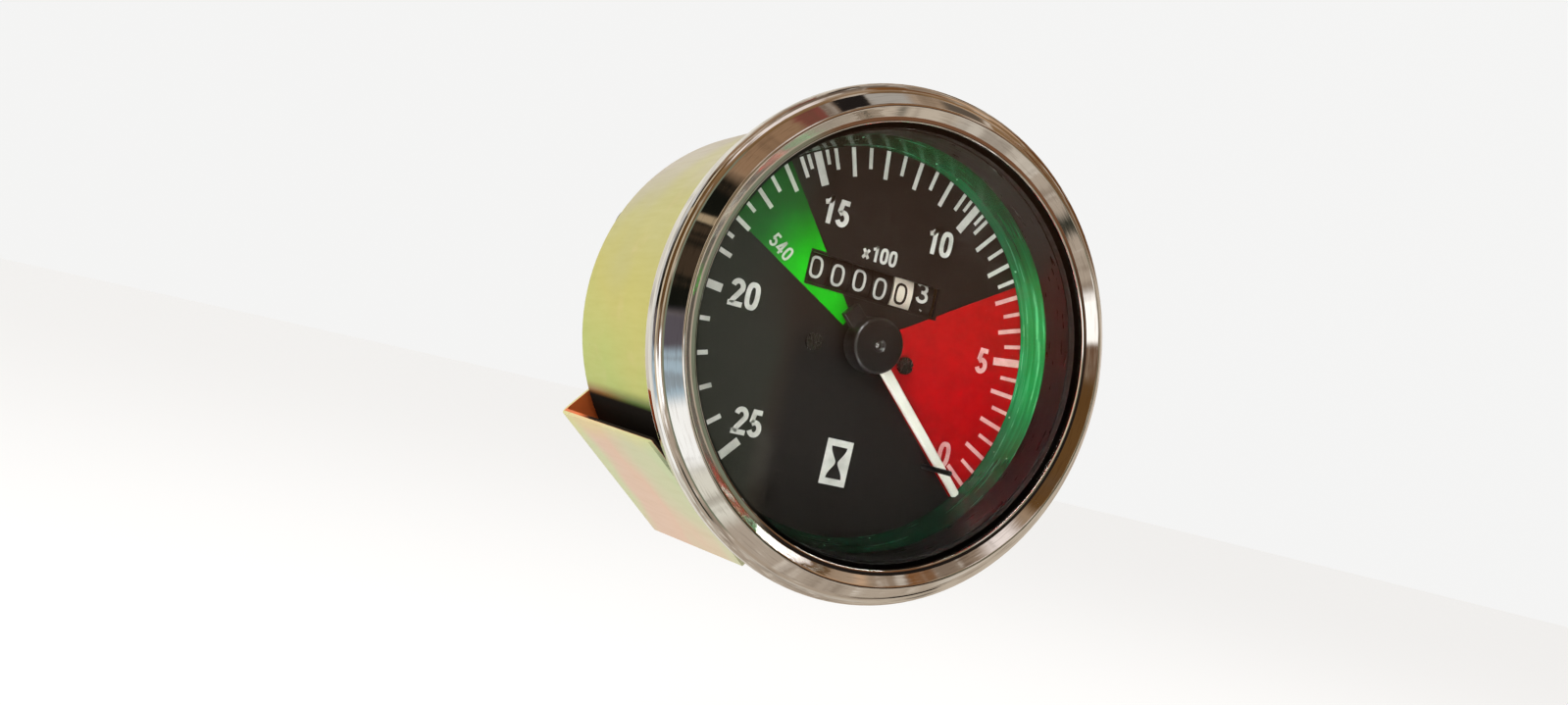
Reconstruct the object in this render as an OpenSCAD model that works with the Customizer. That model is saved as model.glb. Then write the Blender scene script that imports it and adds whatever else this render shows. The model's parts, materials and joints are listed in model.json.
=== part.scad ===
// Tractor tachometer with hour counter, millimetres.
// +Z is up and the dial faces -Y. The origin is on the instrument's axis, at the face
// of the bezel that bears on the front of the panel. Depths are measured along +Y.

/* [Bezel and glass] */
// How far the bezel stands out beyond the case
bezel_over = 4.2; // [3.9:0.1:7]
// Width of the bezel's front from its edge to the opening
bezel_front_w = 8.3; // [8:0.1:8.8]
// Thickness of the bezel's sheet
bezel_t = 0.7; // [0.5:0.05:0.75]
// Radius of the roll round the bezel's outer edge
roll_r = 2.5; // [2.4:0.1:3]
// Width of that roll, seen from the front
roll_w = 2.2; // [2:0.1:2.4]
// Radius of the corner that is spun over behind the case's flange
spin_r = 1.0; // [0.8:0.05:1.3]
// How much the bezel's skirt narrows towards the panel
skirt_taper = 0.6; // [0:0.1:1]
// Slope of the bezel's outer face, from the roll up to the crest
face_a = 53; // [50:0.5:55]
// Radius of the crest
crest_r = 0.5; // [0.4:0.05:0.7]
// Height of the crest over the lip
crest_h = 2.0; // [1.6:0.1:2.2]
// Width from the opening's edge to the crest
crest_in = 3.2; // [2.9:0.1:3.4]
// Width of the flat lip round the opening
lip_w = 1.1; // [0.9:0.1:1.3]
// Gap between the case and the lip behind its flange
back_lip_gap = 0.4; // [0.3:0.1:0.7]
// Thickness of the glass
glass_t = 2.0; // [1.5:0.1:3]
// How far the bezel covers the glass's edge
glass_cover = 1.9; // [1.5:0.1:2.1]
// Thickness of the rubber seal's web behind the glass
seal_t = 1.7; // [1.2:0.1:2.5]
// Depth of the seal's skirt round the spacer ring
seal_skirt = 2.3; // [1.5:0.1:3]
// How far the seal shows inside the opening
seal_show = 0.9; // [0.5:0.1:1.2]

/* [Case] */
// Outside diameter of the case
case_d = 101.6; // [95:0.1:115]
// Room between the cross shaft's wheel and the base plate
rear_room = 0.2; // [0.2:0.1:15]
// Thickness of the case's sheet
case_t = 1.0; // [0.7:0.05:1.2]
// Outer radius of the case's rear corner
case_corner = 3; // [2:0.2:6]

/* [Rings and dial] */
// Length of the black spacer ring
spacer_l = 8.0; // [5:0.2:9]
// How far the spacer ring shows inside the seal
spacer_show = 0.3; // [0.1:0.1:0.6]
// Thickness of the spacer ring's wall
spacer_t = 1.5; // [1:0.1:2]
// Thickness of the spacer ring's front flange
spacer_flange = 1.0; // [0.6:0.1:1.4]
// Length of the green light ring in front of the dial
light_l = 6.9; // [5.5:0.1:8]
// How much the light ring narrows from the spacer ring to the dial
light_taper = 2.0; // [1:0.1:2.5]
// Wall of the light ring's skirt round the dial
light_skirt_t = 2.2; // [1.5:0.1:2.6]
// How far the light ring's skirt reaches behind the dial's face
light_skirt = 3.1; // [1.5:0.1:4]
// Thickness of the dial
dial_t = 1.0; // [0.6:0.1:1.5]
// Thickness of the printed fields
print_t = 0.1; // [0.05:0.05:0.2]
// Length of the long marks of the scale
mark_long_l = 5.9; // [4:0.1:8]
// Length of the short marks
mark_short_l = 4.4; // [3:0.1:6]
// Length of the thick marks
mark_thick_l = 7.2; // [5:0.1:9]
// Width of a fine mark
mark_w = 0.7; // [0.4:0.05:1]
// Width of a thick mark
mark_thick_w = 1.6; // [1.2:0.1:2]
// Inner radius of the red field
red_in_r = 9.8; // [8:0.2:14]
// Value of the scale at which the red field ends
red_end = 7.3; // [4:0.1:9]
// Inner radius of the green field
green_in_r = 6.4; // [6.2:0.2:10]
// Value at which the green field begins
green_from = 15.8; // [15.3:0.1:16.5]
// Value at which the green field ends
green_to = 18.02; // [17:0.1:19]

/* [Pointer] */
// Direction of the pointer at rest
rest_a = -42.5; // [-50:0.5:-38]
// Gap between the pointer's tip and the light ring
pointer_tip_gap = 1.5; // [1:0.1:6]
// Width of the pointer's blade at the hub
blade_root_w = 2.9; // [2.4:0.1:3.6]
// Width of the blade at its tip
blade_tip_w = 2.0; // [1.4:0.1:2.2]
// Thickness of the blade
blade_t = 0.8; // [0.5:0.1:1.2]
// Width of each bevel along the blade
blade_bevel = 0.45; // [0.2:0.05:0.6]
// Diameter of the pointer's hub
hub_d = 12.4; // [10:0.2:13]
// Thickness of the hub
hub_t = 5.0; // [4:0.2:6]
// Gap between the hub and the dial
hub_gap = 2.9; // [2:0.1:3.4]
// Reach of the short tail opposite the blade
tail_reach = 9.6; // [8:0.1:11]
// Width of the tail
tail_w = 4.0; // [3:0.1:5]
// Radius of the pointer's spindle
spindle_r = 0.7; // [0.5:0.05:0.9]
// Radius of the stop pin
stop_r = 0.6; // [0.4:0.05:0.9]
// Distance of the stop pin from the pointer's tip
stop_in = 9; // [4:0.5:16]
// Height of the stop pin over the dial
stop_h = 11; // [6:0.2:12]

/* [Hour counter] */
// Height of the counter's middle over the axis
counter_z = 13.4; // [13:0.1:15]
// Play between the window and the row of drums, both sides together
window_play = 0.1; // [0:0.1:0.6]
// Height of the window in the dial
window_h = 6.6; // [5:0.1:8]
// Diameter of a number drum
drum_d = 20.6; // [18.6:0.1:22.6]
// Width of a drum
drum_w = 5.2; // [4.6:0.05:5.7]
// Gap between two drums
drum_gap = 0.4; // [0.35:0.05:0.6]
// Radius of the counter's shaft
counter_shaft_r = 1.2; // [1:0.05:1.5]
// Thickness of the counter frame's sheet
frame_t = 1.0; // [0.8:0.1:1.2]

/* [Movement] */
// Metal of the movement's plates outside the counter's drive shaft
plate_edge = 1.8; // [1.5:0.1:4]
// Thickness of the front and rear plates
plate_t = 1.5; // [1.2:0.1:1.8]
// Thickness of the base plate that is screwed to the case
base_t = 1.2; // [0.8:0.1:1.4]
// Diameter of the drag cup
cup_d = 34; // [30:0.5:35]
// Depth of the drag cup
cup_l = 5.0; // [4.5:0.1:5.2]
// Thickness of the drag cup's wall
cup_t = 0.6; // [0.4:0.05:0.8]
// Thickness of the magnet
magnet_t = 3.4; // [2.8:0.1:3.6]
// Radial gap on each side of the drag cup's wall
cup_gap = 1.0; // [0.6:0.1:1.4]
// Thickness of the keeper ring
keeper_t = 2.0; // [1.5:0.1:2.5]
// Radius of the drive shaft in the movement
shaft_r = 2.5; // [2:0.05:2.5]
// Radius of the drive shaft in the neck
tail_shaft_r = 3.0; // [2.6:0.05:3.2]
// Width across the square socket for the cable's end
square_w = 2.7; // [2.2:0.1:3.2]
// Depth of the square socket
square_l = 8; // [5:0.5:9]
// Radius of the worms at the middle of their thread
worm_r = 3.0; // [2.9:0.05:3.1]
// Depth of the worms' thread
thread_h = 1.0; // [0.8:0.05:1.1]
// Radius of the cross shaft and the counter's drive shaft
fine_shaft_r = 1.0; // [0.8:0.05:1.3]
// Radius of the pillars
pillar_r = 2.8; // [2.4:0.1:3.2]
// Distance of the pillars from the plates' edge
pillar_in = 5; // [3.5:0.1:6]

/* [Drive neck] */
// Diameter of the thread for the drive cable's nut
neck_d = 18; // [16:0.5:20]
// Length of the neck behind the case
neck_l = 14.2; // [12:0.2:20]
// Diameter of the neck's collar on the case
collar_d = 23; // [22:0.5:26]
// Thickness of that collar
collar_t = 1.5; // [1:0.1:3]
// Diameter of the bore that takes the cable's ferrule
ferrule_d = 9; // [8:0.2:12]
// Depth of that bore
ferrule_l = 5; // [4:0.2:6]

/* [Mounting bracket] */
// Direction in which the bracket lies across the case
bracket_a = 51.5; // [45:0.5:55]
// Width of the bracket at the case's back
bracket_w = 38; // [34:0.5:40]
// Width of the bracket at its front ends
bracket_tip_w = 34; // [30:0.5:38]
// Thickness of the bracket's sheet
bracket_t = 1.5; // [1:0.1:2]
// Gap between the case and the bracket's legs at the back
leg_gap = 2.5; // [1.6:0.1:4]
// Gap between the case and the legs at their front ends
leg_tip_gap = 0.4; // [0.3:0.05:2]
// Inner radius of the bracket's bends
bend_r = 1.2; // [0.6:0.1:2]
// Gap between the legs' front ends and the bezel
panel_gap = 3.5; // [2.5:0.1:3.9]
// Distance of the studs from the axis
stud_at = 20; // [18:0.5:26]
// Radius of the studs
stud_r = 2.5; // [2:0.1:3]
// Length of the studs
stud_l = 12; // [9:0.5:16]

/* [Lamps] */
// Direction of the first lamp, the second lies opposite
lamp_a = 153.5; // [148:0.5:158]
// Flat left between a lamp holder and the case's rounded corner
lamp_edge = 0.3; // [0:0.1:1.5]
// Radius of the lamp holders behind the case
lamp_r = 7.5; // [6.5:0.1:8]
// Length of the lamp holders behind the case
lamp_l = 17.7; // [12:0.1:20]
// Radius of the lamp holders' socket tube
lamp_tube_r = 5.6; // [5.2:0.1:5.8]
// Length of the socket tube inside the case
lamp_tube_l = 13; // [8:0.5:16]
// Radius of the bulbs
bulb_r = 4.5; // [4:0.1:4.6]

/* [Hidden] */
$fn = 96;
// Running clearance of shafts, and the clearance of fitted and of loose pieces
run_gap = 0.05;
fit_gap = 0.2;
loose_gap = 0.4;
// Overlap that lets a cut go right through
cut = 1;

DRUMS = 6;
TEETH_CROSS = 15;
TEETH_COUNTER = 30;
TEETH_DRUM = 20;
TEETH_PINION = 6;

// Radii
case_r = case_d / 2;
case_in_r = case_r - case_t;
bezel_r = case_r + bezel_over;
opening_r = bezel_r - bezel_front_w;
back_lip_r = case_r + back_lip_gap;
glass_r = opening_r + glass_cover;
seal_in_r = opening_r - seal_show;
spacer_in_r = seal_in_r - spacer_show;
light_in_r = spacer_in_r - light_taper;
drum_r = drum_d / 2;
flange_r = bezel_r - skirt_taper - spin_r - fit_gap;
seal_r = flange_r - 0.6;
skirt_in_r = case_in_r + fit_gap;
ring_r = case_in_r - fit_gap;
light_r = ring_r - loose_gap;
skirt_r = light_r - light_skirt_t;
dial_r = skirt_r - loose_gap;
pointer_reach = light_in_r - pointer_tip_gap;
stop_at = pointer_reach - stop_in;
lamp_at = case_r - case_corner - lamp_r - lamp_edge;

// Depths along the axis, from the glass backwards
flange_y = -bezel_t - case_t;
seal_back_y = flange_y - seal_skirt;
seal_y = seal_back_y - seal_t;
glass_y = seal_y - glass_t;
lip_y = glass_y - bezel_t;
spacer_end_y = seal_back_y + spacer_l;
dial_y = spacer_end_y + light_l;
dial_back_y = dial_y + dial_t;
hub_y = dial_y - hub_gap - hub_t;
blade_y = dial_y - hub_gap - 1.4;
drum_y = dial_back_y + 0.6 + drum_r;
web_y = drum_y + drum_r + 0.5;
front_plate_y = web_y + frame_t;
front_back_y = front_plate_y + plate_t;
cup_y = front_back_y + 1.2;
rear_plate_y = cup_y + cup_l + 0.6;
rear_back_y = rear_plate_y + plate_t;

// Worm gearing: one axial pitch throughout, and the case's back behind it
worm_lead = 2.0944;
wheel_t = 2.0;
tooth_over = 0.3;
cross_wheel_r = TEETH_CROSS * worm_lead / (2 * PI);
counter_wheel_r = TEETH_COUNTER * worm_lead / (2 * PI);
drum_wheel_r = TEETH_DRUM * worm_lead / (2 * PI);
cross_x = worm_r + cross_wheel_r;
cross_y = rear_back_y + cross_wheel_r + 0.7;
counter_drive_x = cross_x + worm_r + counter_wheel_r;
counter_drive_z = counter_z + worm_r + drum_wheel_r;
plate_r = norm([counter_drive_x, counter_drive_z]) + plate_edge;
pillar_at = plate_r - pillar_in;
base_y = cross_y + cross_wheel_r + tooth_over + rear_room;
case_back_y = base_y + base_t;
case_l = case_back_y + case_t;

// Drum gearing inside the rims
rim_pitch_r = drum_r - 2.3;
space_tip_r = rim_pitch_r + 0.8;
space_root_r = rim_pitch_r - 0.65;
pinion_pitch_r = rim_pitch_r * TEETH_PINION / TEETH_DRUM;
pinion_at = rim_pitch_r - pinion_pitch_r;
pinion_tip_r = pinion_pitch_r + 0.55;
pinion_root_r = pinion_pitch_r - 0.8;
neck_r = pinion_root_r - 0.1;
drum_hub_r = pinion_at - pinion_tip_r - 0.35;
recess_l = 1.8;
drum_pitch = drum_w + drum_gap;
window_w = DRUMS * drum_pitch + window_play;
cheek_x = DRUMS * drum_pitch / 2 + 0.5;
lug_x = counter_drive_x + wheel_t / 2 + 0.6;
cheek_h = 11;

// Pillars and screws stand in a rectangle on both sides of the bracket
PILLAR_ANGLES = [for (side = [60, 120, -60, -120]) bracket_a + side];
DIAL_SCREWS = [[12, -2.3], [-12, -2.3]];
screw_r = 1.2;
screw_head_r = 1.9;
post_r = 2.3;

// Angle of a scale value, anticlockwise from +X as the driver sees the dial
function scale_angle(v) =
  lookup(v, [[0, -47.5], [5, 6.7], [10, 59.8], [15, 119.6], [20, 174.2], [25, 228.2]]);

// Points on an arc about centre c
function arc(c, r, a0, a1, steps = 8) =
  [for (i = [0 : steps]) let (a = a0 + (a1 - a0) * i / steps) c + r * [cos(a), sin(a)]];

// Outline of a gear with straight-sided teeth, the first tooth pointing along turn
function gear_points(teeth, tip_r, root_r, tip_w, root_w, turn) = [
  for (i = [0 : teeth - 1], p = [
    [root_r, -root_w / 2], [tip_r, -tip_w / 2], [tip_r, tip_w / 2], [root_r, root_w / 2]
  ])
    let (a = turn + i * 360 / teeth)
      [p[0] * cos(a) - p[1] * sin(a), p[0] * sin(a) + p[1] * cos(a)]
];

// Solid of revolution about the instrument's axis, from points [radius, depth]
module turned(points) rotate([-90, 0, 0]) rotate_extrude() polygon(points);

// Round bar or hole along the axis from depth y0 to y1
module bar(r, y0, y1) translate([0, y0, 0]) rotate([-90, 0, 0]) cylinder(r = r, h = y1 - y0);

// Flat plate from depth y0, drawn in X and Z
module plate(y0, t) translate([0, y0 + t, 0]) rotate([90, 0, 0]) linear_extrude(t) children();

// Plate across the instrument from x0, drawn in Y and Z
module across(x0, t) translate([x0, 0, 0]) rotate([90, 0, 90]) linear_extrude(t) children();

// Turns +X to a direction on the dial
module toward(a) rotate([0, -a, 0]) children();

// Places a copy at each pillar
module at_pillars() for (a = PILLAR_ANGLES) toward(a) translate([pillar_at, 0, 0]) children();

// Places a copy at each dial screw
module at_dial_screws() for (p = DIAL_SCREWS) translate([p[0], 0, p[1]]) children();

// Places a copy at each stud of the bracket
module at_studs() for (s = [-1, 1]) toward(bracket_a) translate([s * stud_at, 0, 0]) children();

// Worm along +Z, its thread's valley facing +X at mid height; hand is 1 or -1
module worm(turns, hand) {
  translate([0, 0, -turns * worm_lead / 2])
    linear_extrude(turns * worm_lead, twist = -hand * 360 * turns, slices = 14 * turns, $fn = 16)
      translate([thread_h / 2, 0])
        circle(worm_r);
}

// Outline of a wheel that a worm drives, a tooth along turn
module worm_wheel(teeth, r, turn) {
  polygon(gear_points(teeth, r + tooth_over, r - 0.8, 0.4, 1.2, turn));
}

// Bezel: one sheet spun over glass, seal and flange
// One outer slope rises from the roll to the crest and one inner slope falls to the lip.
crest_c = [opening_r + crest_in, lip_y - crest_h + crest_r];
lip_c = [opening_r + lip_w, lip_y];
lip_run = crest_c - lip_c;
inner_a = atan2(-lip_run[1], lip_run[0]) + asin(crest_r / norm(lip_run));
face_way = [cos(face_a), sin(face_a)];
face_out = [sin(face_a), -cos(face_a)];
face_top = crest_c + crest_r * face_out;
crease_x = bezel_r - roll_w;
crease = [crease_x, face_top[1] + (crease_x - face_top[0]) * tan(face_a)];
crease_a = -acos((roll_r - roll_w) / roll_r);
roll_c = crease - roll_r * [cos(crease_a), sin(crease_a)];
spin_c = [bezel_r - skirt_taper - spin_r, -spin_r];

// First point where a line along way meets a circle about c
function meet(from, way, c, r) =
  let (gap = from - c, along = gap * way)
    from + (-along - sqrt(along * along - gap * gap + r * r)) * way;

module bezel() {
  lip_edge = bezel_t / 2;
  half_bend = (face_a + inner_a) / 2;
  bend_a = -90 + (face_a - inner_a) / 2;
  under_crest = crest_c + (crest_r - bezel_t) / cos(half_bend) * [cos(bend_a), sin(bend_a)];
  under_crease = meet(crease - bezel_t * face_out, face_way, roll_c, roll_r - bezel_t);
  under_a = atan2(under_crease[1] - roll_c[1], under_crease[0] - roll_c[0]);
  color("silver") turned(concat(
    [[back_lip_r, 0]],
    arc(spin_c, spin_r, 90, 0),
    arc(roll_c, roll_r, 0, crease_a, 12),
    arc(crest_c, crest_r, face_a - 90, -90 - inner_a, 8),
    [lip_c],
    arc([opening_r + lip_edge, lip_y + lip_edge], lip_edge, -90, -270),
    [lip_c + bezel_t * [tan(inner_a / 2), 1], under_crest],
    arc(roll_c, roll_r - bezel_t, under_a, 0),
    arc(spin_c, spin_r - bezel_t, 0, 90),
    [[back_lip_r, -bezel_t]]
  ));
}

module lens() {
  edge = 0.25;
  color("white", 0.3) turned([
    [0, glass_y], [glass_r - edge, glass_y], [glass_r, glass_y + edge],
    [glass_r, seal_y - edge], [glass_r - edge, seal_y], [0, seal_y]
  ]);
}

module lens_seal() {
  color("black") turned([
    [seal_in_r, seal_y], [seal_r - 0.6, seal_y], [seal_r, seal_y + 0.6],
    [seal_r, flange_y], [skirt_in_r, flange_y], [skirt_in_r, seal_back_y],
    [seal_in_r, seal_back_y]
  ]);
}

module spacer_ring() {
  r = spacer_in_r;
  color("black") turned([
    [r, seal_back_y], [ring_r, seal_back_y], [ring_r, seal_back_y + spacer_flange],
    [r + spacer_t, seal_back_y + spacer_flange], [r + spacer_t, spacer_end_y],
    [r, spacer_end_y]
  ]);
}

module light_ring() {
  end_y = dial_y + light_skirt;
  color("seagreen", 0.7) turned([
    [spacer_in_r, spacer_end_y], [light_r, spacer_end_y], [light_r, end_y],
    [skirt_r, end_y], [skirt_r, dial_y], [light_in_r, dial_y]
  ]);
}

// Dial, its printed fields and its marks
module window_outline() translate([0, counter_z]) square([window_w, window_h], center = true);

module dial_screw_outlines(r) for (p = DIAL_SCREWS) translate(p) circle(r);

stop_a = rest_a - asin((blade_w(stop_at) / 2 + stop_r + 0.1) / stop_at);
module stop_outline(r) rotate(stop_a) translate([stop_at, 0]) circle(r);

module dial_plate() {
  color("black") plate(dial_y, dial_t) difference() {
    circle(dial_r);
    window_outline();
    dial_screw_outlines(screw_r + fit_gap);
    stop_outline(stop_r);
    circle(spindle_r + 1.5);
  }
}

// Sector between two directions, with straight edges and a round outside
module sector_outline(a0, a1, r0, r1) {
  polygon(concat(arc([0, 0], r0, a1, a0, 12), arc([0, 0], r1, a0, a1, 24)));
}

module field(colour, a0, a1, r0) {
  color(colour) plate(dial_y - print_t, print_t) difference() {
    sector_outline(a0, a1, r0, light_in_r - fit_gap);
    mark_outlines();
    window_outline();
    dial_screw_outlines(screw_head_r + 0.1);
    stop_outline(stop_r + 0.1);
  }
}

module red_sector() field("red", scale_angle(0) + 5, scale_angle(red_end), red_in_r);

module green_sector() field("green", scale_angle(green_from), scale_angle(green_to), green_in_r);

// One mark at a value, reaching in from the light ring
module mark_outline(v, l, w) {
  rotate(scale_angle(v)) translate([light_in_r - fit_gap - l, -w / 2]) square([l, w]);
}

module mark_outlines() {
  for (v = [1 : 24]) if (v % 5 != 0) mark_outline(v, mark_long_l, mark_w);
  for (v = [1.5 : 1 : 18.5]) mark_outline(v, mark_short_l, mark_w);
  for (v = [5 : 5 : 25]) mark_outline(v, mark_thick_l, mark_thick_w);
}

module scale_marks() color("white") plate(dial_y - print_t, print_t) mark_outlines();

module dial_screws() {
  head_t = 1.0;
  color("black") at_dial_screws() difference() {
    union() {
      bar(screw_head_r, dial_y - head_t, dial_y);
      bar(screw_r, dial_y - 0.1, dial_back_y + 5);
    }
    translate([-screw_head_r - cut, dial_y - head_t - cut, -0.25])
      cube([2 * (screw_head_r + cut), cut + 0.5, 0.5]);
  }
}

module stop_pin() {
  color("black") toward(stop_a) translate([stop_at, 0, 0]) bar(stop_r, dial_y - stop_h, dial_back_y);
}

// Pointer and its spindle
function blade_w(r) = blade_root_w + (blade_tip_w - blade_root_w) * r / pointer_reach;

module pointer_hub() {
  r = hub_d / 2;
  back_y = hub_y + hub_t;
  edge = 0.8;
  slot_w = blade_root_w + 0.1;
  color("black") toward(rest_a) difference() {
    union() {
      turned(concat(
        [[0, hub_y + 0.5], [1.0, hub_y + 0.5], [1.5, hub_y]],
        arc([r - edge, hub_y + edge], edge, -90, 0, 6),
        [[r, back_y], [0, back_y]]
      ));
      translate([-tail_reach, blade_y - 0.6, -tail_w / 2])
        cube([tail_reach, 1.8, tail_w]);
    }
    bar(spindle_r, hub_y - cut, back_y + cut);
    translate([spindle_r + 0.6, blade_y - run_gap, -slot_w / 2])
      cube([r, blade_t + 2 * run_gap, slot_w]);
  }
}

module pointer_blade() {
  root = spindle_r + 0.7;
  half = blade_root_w / 2;
  color("white") toward(rest_a) intersection() {
    plate(blade_y, blade_t) polygon([
      [root, -blade_w(root) / 2], [pointer_reach - 0.3, -blade_tip_w / 2],
      [pointer_reach, -blade_tip_w / 4], [pointer_reach, blade_tip_w / 4],
      [pointer_reach - 0.3, blade_tip_w / 2], [root, blade_w(root) / 2]
    ]);
    hull() for (side = [-1, 1]) {
      translate([root - cut, blade_y + blade_t, side * half])
        cube([2 * pointer_reach, 0.001, 0.001]);
      translate([root, blade_y, side * (half - blade_bevel)])
        cube([0.001, 0.001, 0.001]);
      translate([pointer_reach + cut, blade_y, side * (blade_tip_w / 2 - blade_bevel)])
        cube([0.001, 0.001, 0.001]);
      translate([root, blade_y + blade_t / 2, side * half]) cube([0.001, 0.001, 0.001]);
      translate([pointer_reach + cut, blade_y + blade_t / 2, side * blade_tip_w / 2])
        cube([0.001, 0.001, 0.001]);
    }
  }
}

spindle_end_y = cup_y + cup_t + 2.2;

module pointer_spindle() {
  color("silver") turned([
    [0, hub_y + 0.2], [spindle_r, hub_y + 0.6], [spindle_r, cup_y - 0.9],
    [1.3, cup_y - 0.9], [1.3, cup_y], [spindle_r, cup_y], [spindle_r, spindle_end_y],
    [0, spindle_end_y + 0.4]
  ]);
}

module drag_cup() {
  r = cup_d / 2;
  color("gainsboro") turned(concat(
    [[spindle_r, cup_y]],
    arc([r - 1.2, cup_y + 1.2], 1.2, -90, 0, 6),
    [[r, cup_y + cup_l], [r - cup_t, cup_y + cup_l]],
    arc([r - 1.2, cup_y + 1.2], 1.2 - cup_t, 0, -90, 6),
    [[spindle_r, cup_y + cup_t]]
  ));
}

// Flat spiral from the spindle's collet out to the stud on the front plate
spring_from = 1.6;
spring_to = 9.0;
spring_turns = 5;

module hairspring() {
  strip = 0.2;
  steps = 24 * spring_turns;
  function at(i, side) =
    (spring_from + (spring_to - spring_from) * i / steps + side * strip / 2)
      * [cos(i * 15), sin(i * 15)];
  color("peru") plate(front_back_y + 0.3, 0.6) {
    polygon(concat([for (i = [0 : steps]) at(i, 1)], [for (i = [steps : -1 : 0]) at(i, -1)]));
  }
}

// Drive: magnet, shaft and first worm
magnet_y = cup_y + cup_t + 0.6;
magnet_end_y = magnet_y + magnet_t;
neck_end_y = case_l + neck_l;
shaft_end_y = neck_end_y - ferrule_l - 1;

module magnet() {
  r = cup_d / 2 - cup_t - cup_gap;
  color("dimgray") difference() {
    bar(r, magnet_y, magnet_end_y);
    bar(shaft_r, magnet_y - cut, magnet_end_y + cut);
  }
}

module drive_shaft() {
  nose_y = magnet_y + 0.2;
  step_y = base_y - 0.8;
  color("lightsteelblue") difference() {
    union() {
      bar(shaft_r, nose_y, step_y);
      bar(shaft_r + 1, magnet_end_y, rear_plate_y - 0.2);
      bar(tail_shaft_r, step_y, shaft_end_y);
      translate([0, cross_y, 0]) rotate([-90, 0, 0]) worm(3, 1);
    }
    bar(spindle_r + run_gap, nose_y - cut, spindle_end_y + 0.6);
    translate([-square_w / 2, shaft_end_y - square_l, -square_w / 2])
      cube([square_w, square_l + cut, square_w]);
  }
}

module keeper_ring() {
  r = cup_d / 2 + cup_gap;
  color("gray") turned([
    [r, cup_y + 0.2], [r + keeper_t, cup_y + 0.2], [r + keeper_t, rear_plate_y],
    [r, rear_plate_y]
  ]);
}

// Plates, posts and pillars of the movement
bush_r = 4.0;
front_bush_r = 2.4;

// Keeps the movement's plates clear of the lamps
module lamp_notches() {
  for (turn = [0, 180]) lamp_place(turn) bar(lamp_tube_r + loose_gap, front_plate_y - cut, case_l);
}

module counter_drive_place() translate([counter_drive_x, 0, counter_drive_z]) children();

module front_plate() {
  color("khaki") difference() {
    union() {
      bar(plate_r, front_plate_y, front_back_y);
      toward(0) translate([spring_to + 0.1, front_back_y, -0.9]) cube([1.4, 0.9, 1.8]);
    }
    bar(front_bush_r, front_plate_y - cut, front_back_y + cut);
    lamp_notches();
    counter_drive_place() bar(fine_shaft_r + run_gap, front_plate_y - cut, front_back_y + cut);
  }
}

// Ear of the rear plate that carries the cross shaft
ear_t = 1.2;
module cross_ear(z) {
  translate([cross_x - 3, rear_back_y - 0.5, z])
    cube([6, cross_y - rear_back_y + 3, ear_t]);
}
ear_low_z = -6;
ear_high_z = plate_r - 3;

module rear_plate() {
  color("khaki") difference() {
    union() {
      bar(plate_r, rear_plate_y, rear_back_y);
      cross_ear(ear_low_z);
      cross_ear(ear_high_z);
    }
    bar(bush_r, rear_plate_y - cut, rear_back_y + cut);
    lamp_notches();
    counter_drive_place() bar(fine_shaft_r + run_gap, rear_plate_y - cut, rear_back_y + cut);
    translate([cross_x, cross_y, ear_low_z - cut])
      cylinder(r = fine_shaft_r + run_gap, h = ear_high_z - ear_low_z + ear_t + 2 * cut);
  }
}

module base_plate() {
  color("khaki") difference() {
    bar(plate_r, base_y, case_back_y);
    bar(neck_d / 2, base_y - cut, case_back_y + cut);
    lamp_notches();
    at_pillars() bar(screw_shank_r + fit_gap, base_y - cut, case_back_y + cut);
  }
}

module dial_posts() {
  color("khaki") at_dial_screws() difference() {
    bar(post_r, dial_back_y, front_plate_y);
    bar(screw_r, dial_back_y - cut, dial_back_y + 6);
  }
}

screw_shank_r = 1.5;
screw_bite = 6;

module plate_pillars() {
  color("khaki") at_pillars() {
    bar(pillar_r, front_back_y, rear_plate_y);
    difference() {
      bar(pillar_r, rear_back_y, base_y);
      bar(screw_shank_r, base_y - screw_bite - 0.5, base_y + cut);
    }
  }
}

module movement_screws() {
  head_t = 2.0;
  head_r = 2.9;
  color("silver") at_pillars() difference() {
    union() {
      bar(head_r, case_l, case_l + head_t);
      bar(screw_shank_r, base_y - screw_bite, case_l + 0.1);
    }
    translate([-head_r - cut, case_l + head_t - 0.9, -0.4]) cube([2 * (head_r + cut), 2, 0.8]);
  }
}

module bush(r, hole_r, y0, y1) {
  color("goldenrod") difference() {
    bar(r, y0, y1);
    bar(hole_r, y0 - cut, y1 + cut);
  }
}

module front_bush() bush(front_bush_r, spindle_r + run_gap, front_plate_y - 0.5, front_back_y);

module rear_bush() bush(bush_r, shaft_r + run_gap, rear_plate_y, rear_back_y + 0.5);

// Hour counter
module counter_place() translate([0, drum_y, counter_z]) children();

module cheek(x, hole_r) {
  front = dial_back_y + 0.4 - drum_y;
  counter_place() across(x, frame_t) difference() {
    translate([front, -cheek_h / 2]) square([web_y - drum_y - front + 0.1, cheek_h]);
    circle(hole_r);
  }
}

module counter_frame() {
  color("peru") union() {
    cheek(-cheek_x - frame_t, counter_shaft_r);
    cheek(cheek_x, drum_hub_r + 1 + 2 * fit_gap);
    cheek(lug_x, counter_shaft_r);
    translate([-cheek_x - frame_t, web_y, counter_z - cheek_h / 2])
      cube([cheek_x + lug_x + 2 * frame_t, frame_t, cheek_h]);
  }
}

module counter_shaft() {
  color("silver") counter_place() translate([-cheek_x - frame_t, 0, 0])
    rotate([0, 90, 0]) cylinder(r = counter_shaft_r, h = cheek_x + lug_x + 2 * frame_t);
}

function drum_x(i) = (i - (DRUMS + 1) / 2) * drum_pitch;

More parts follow.
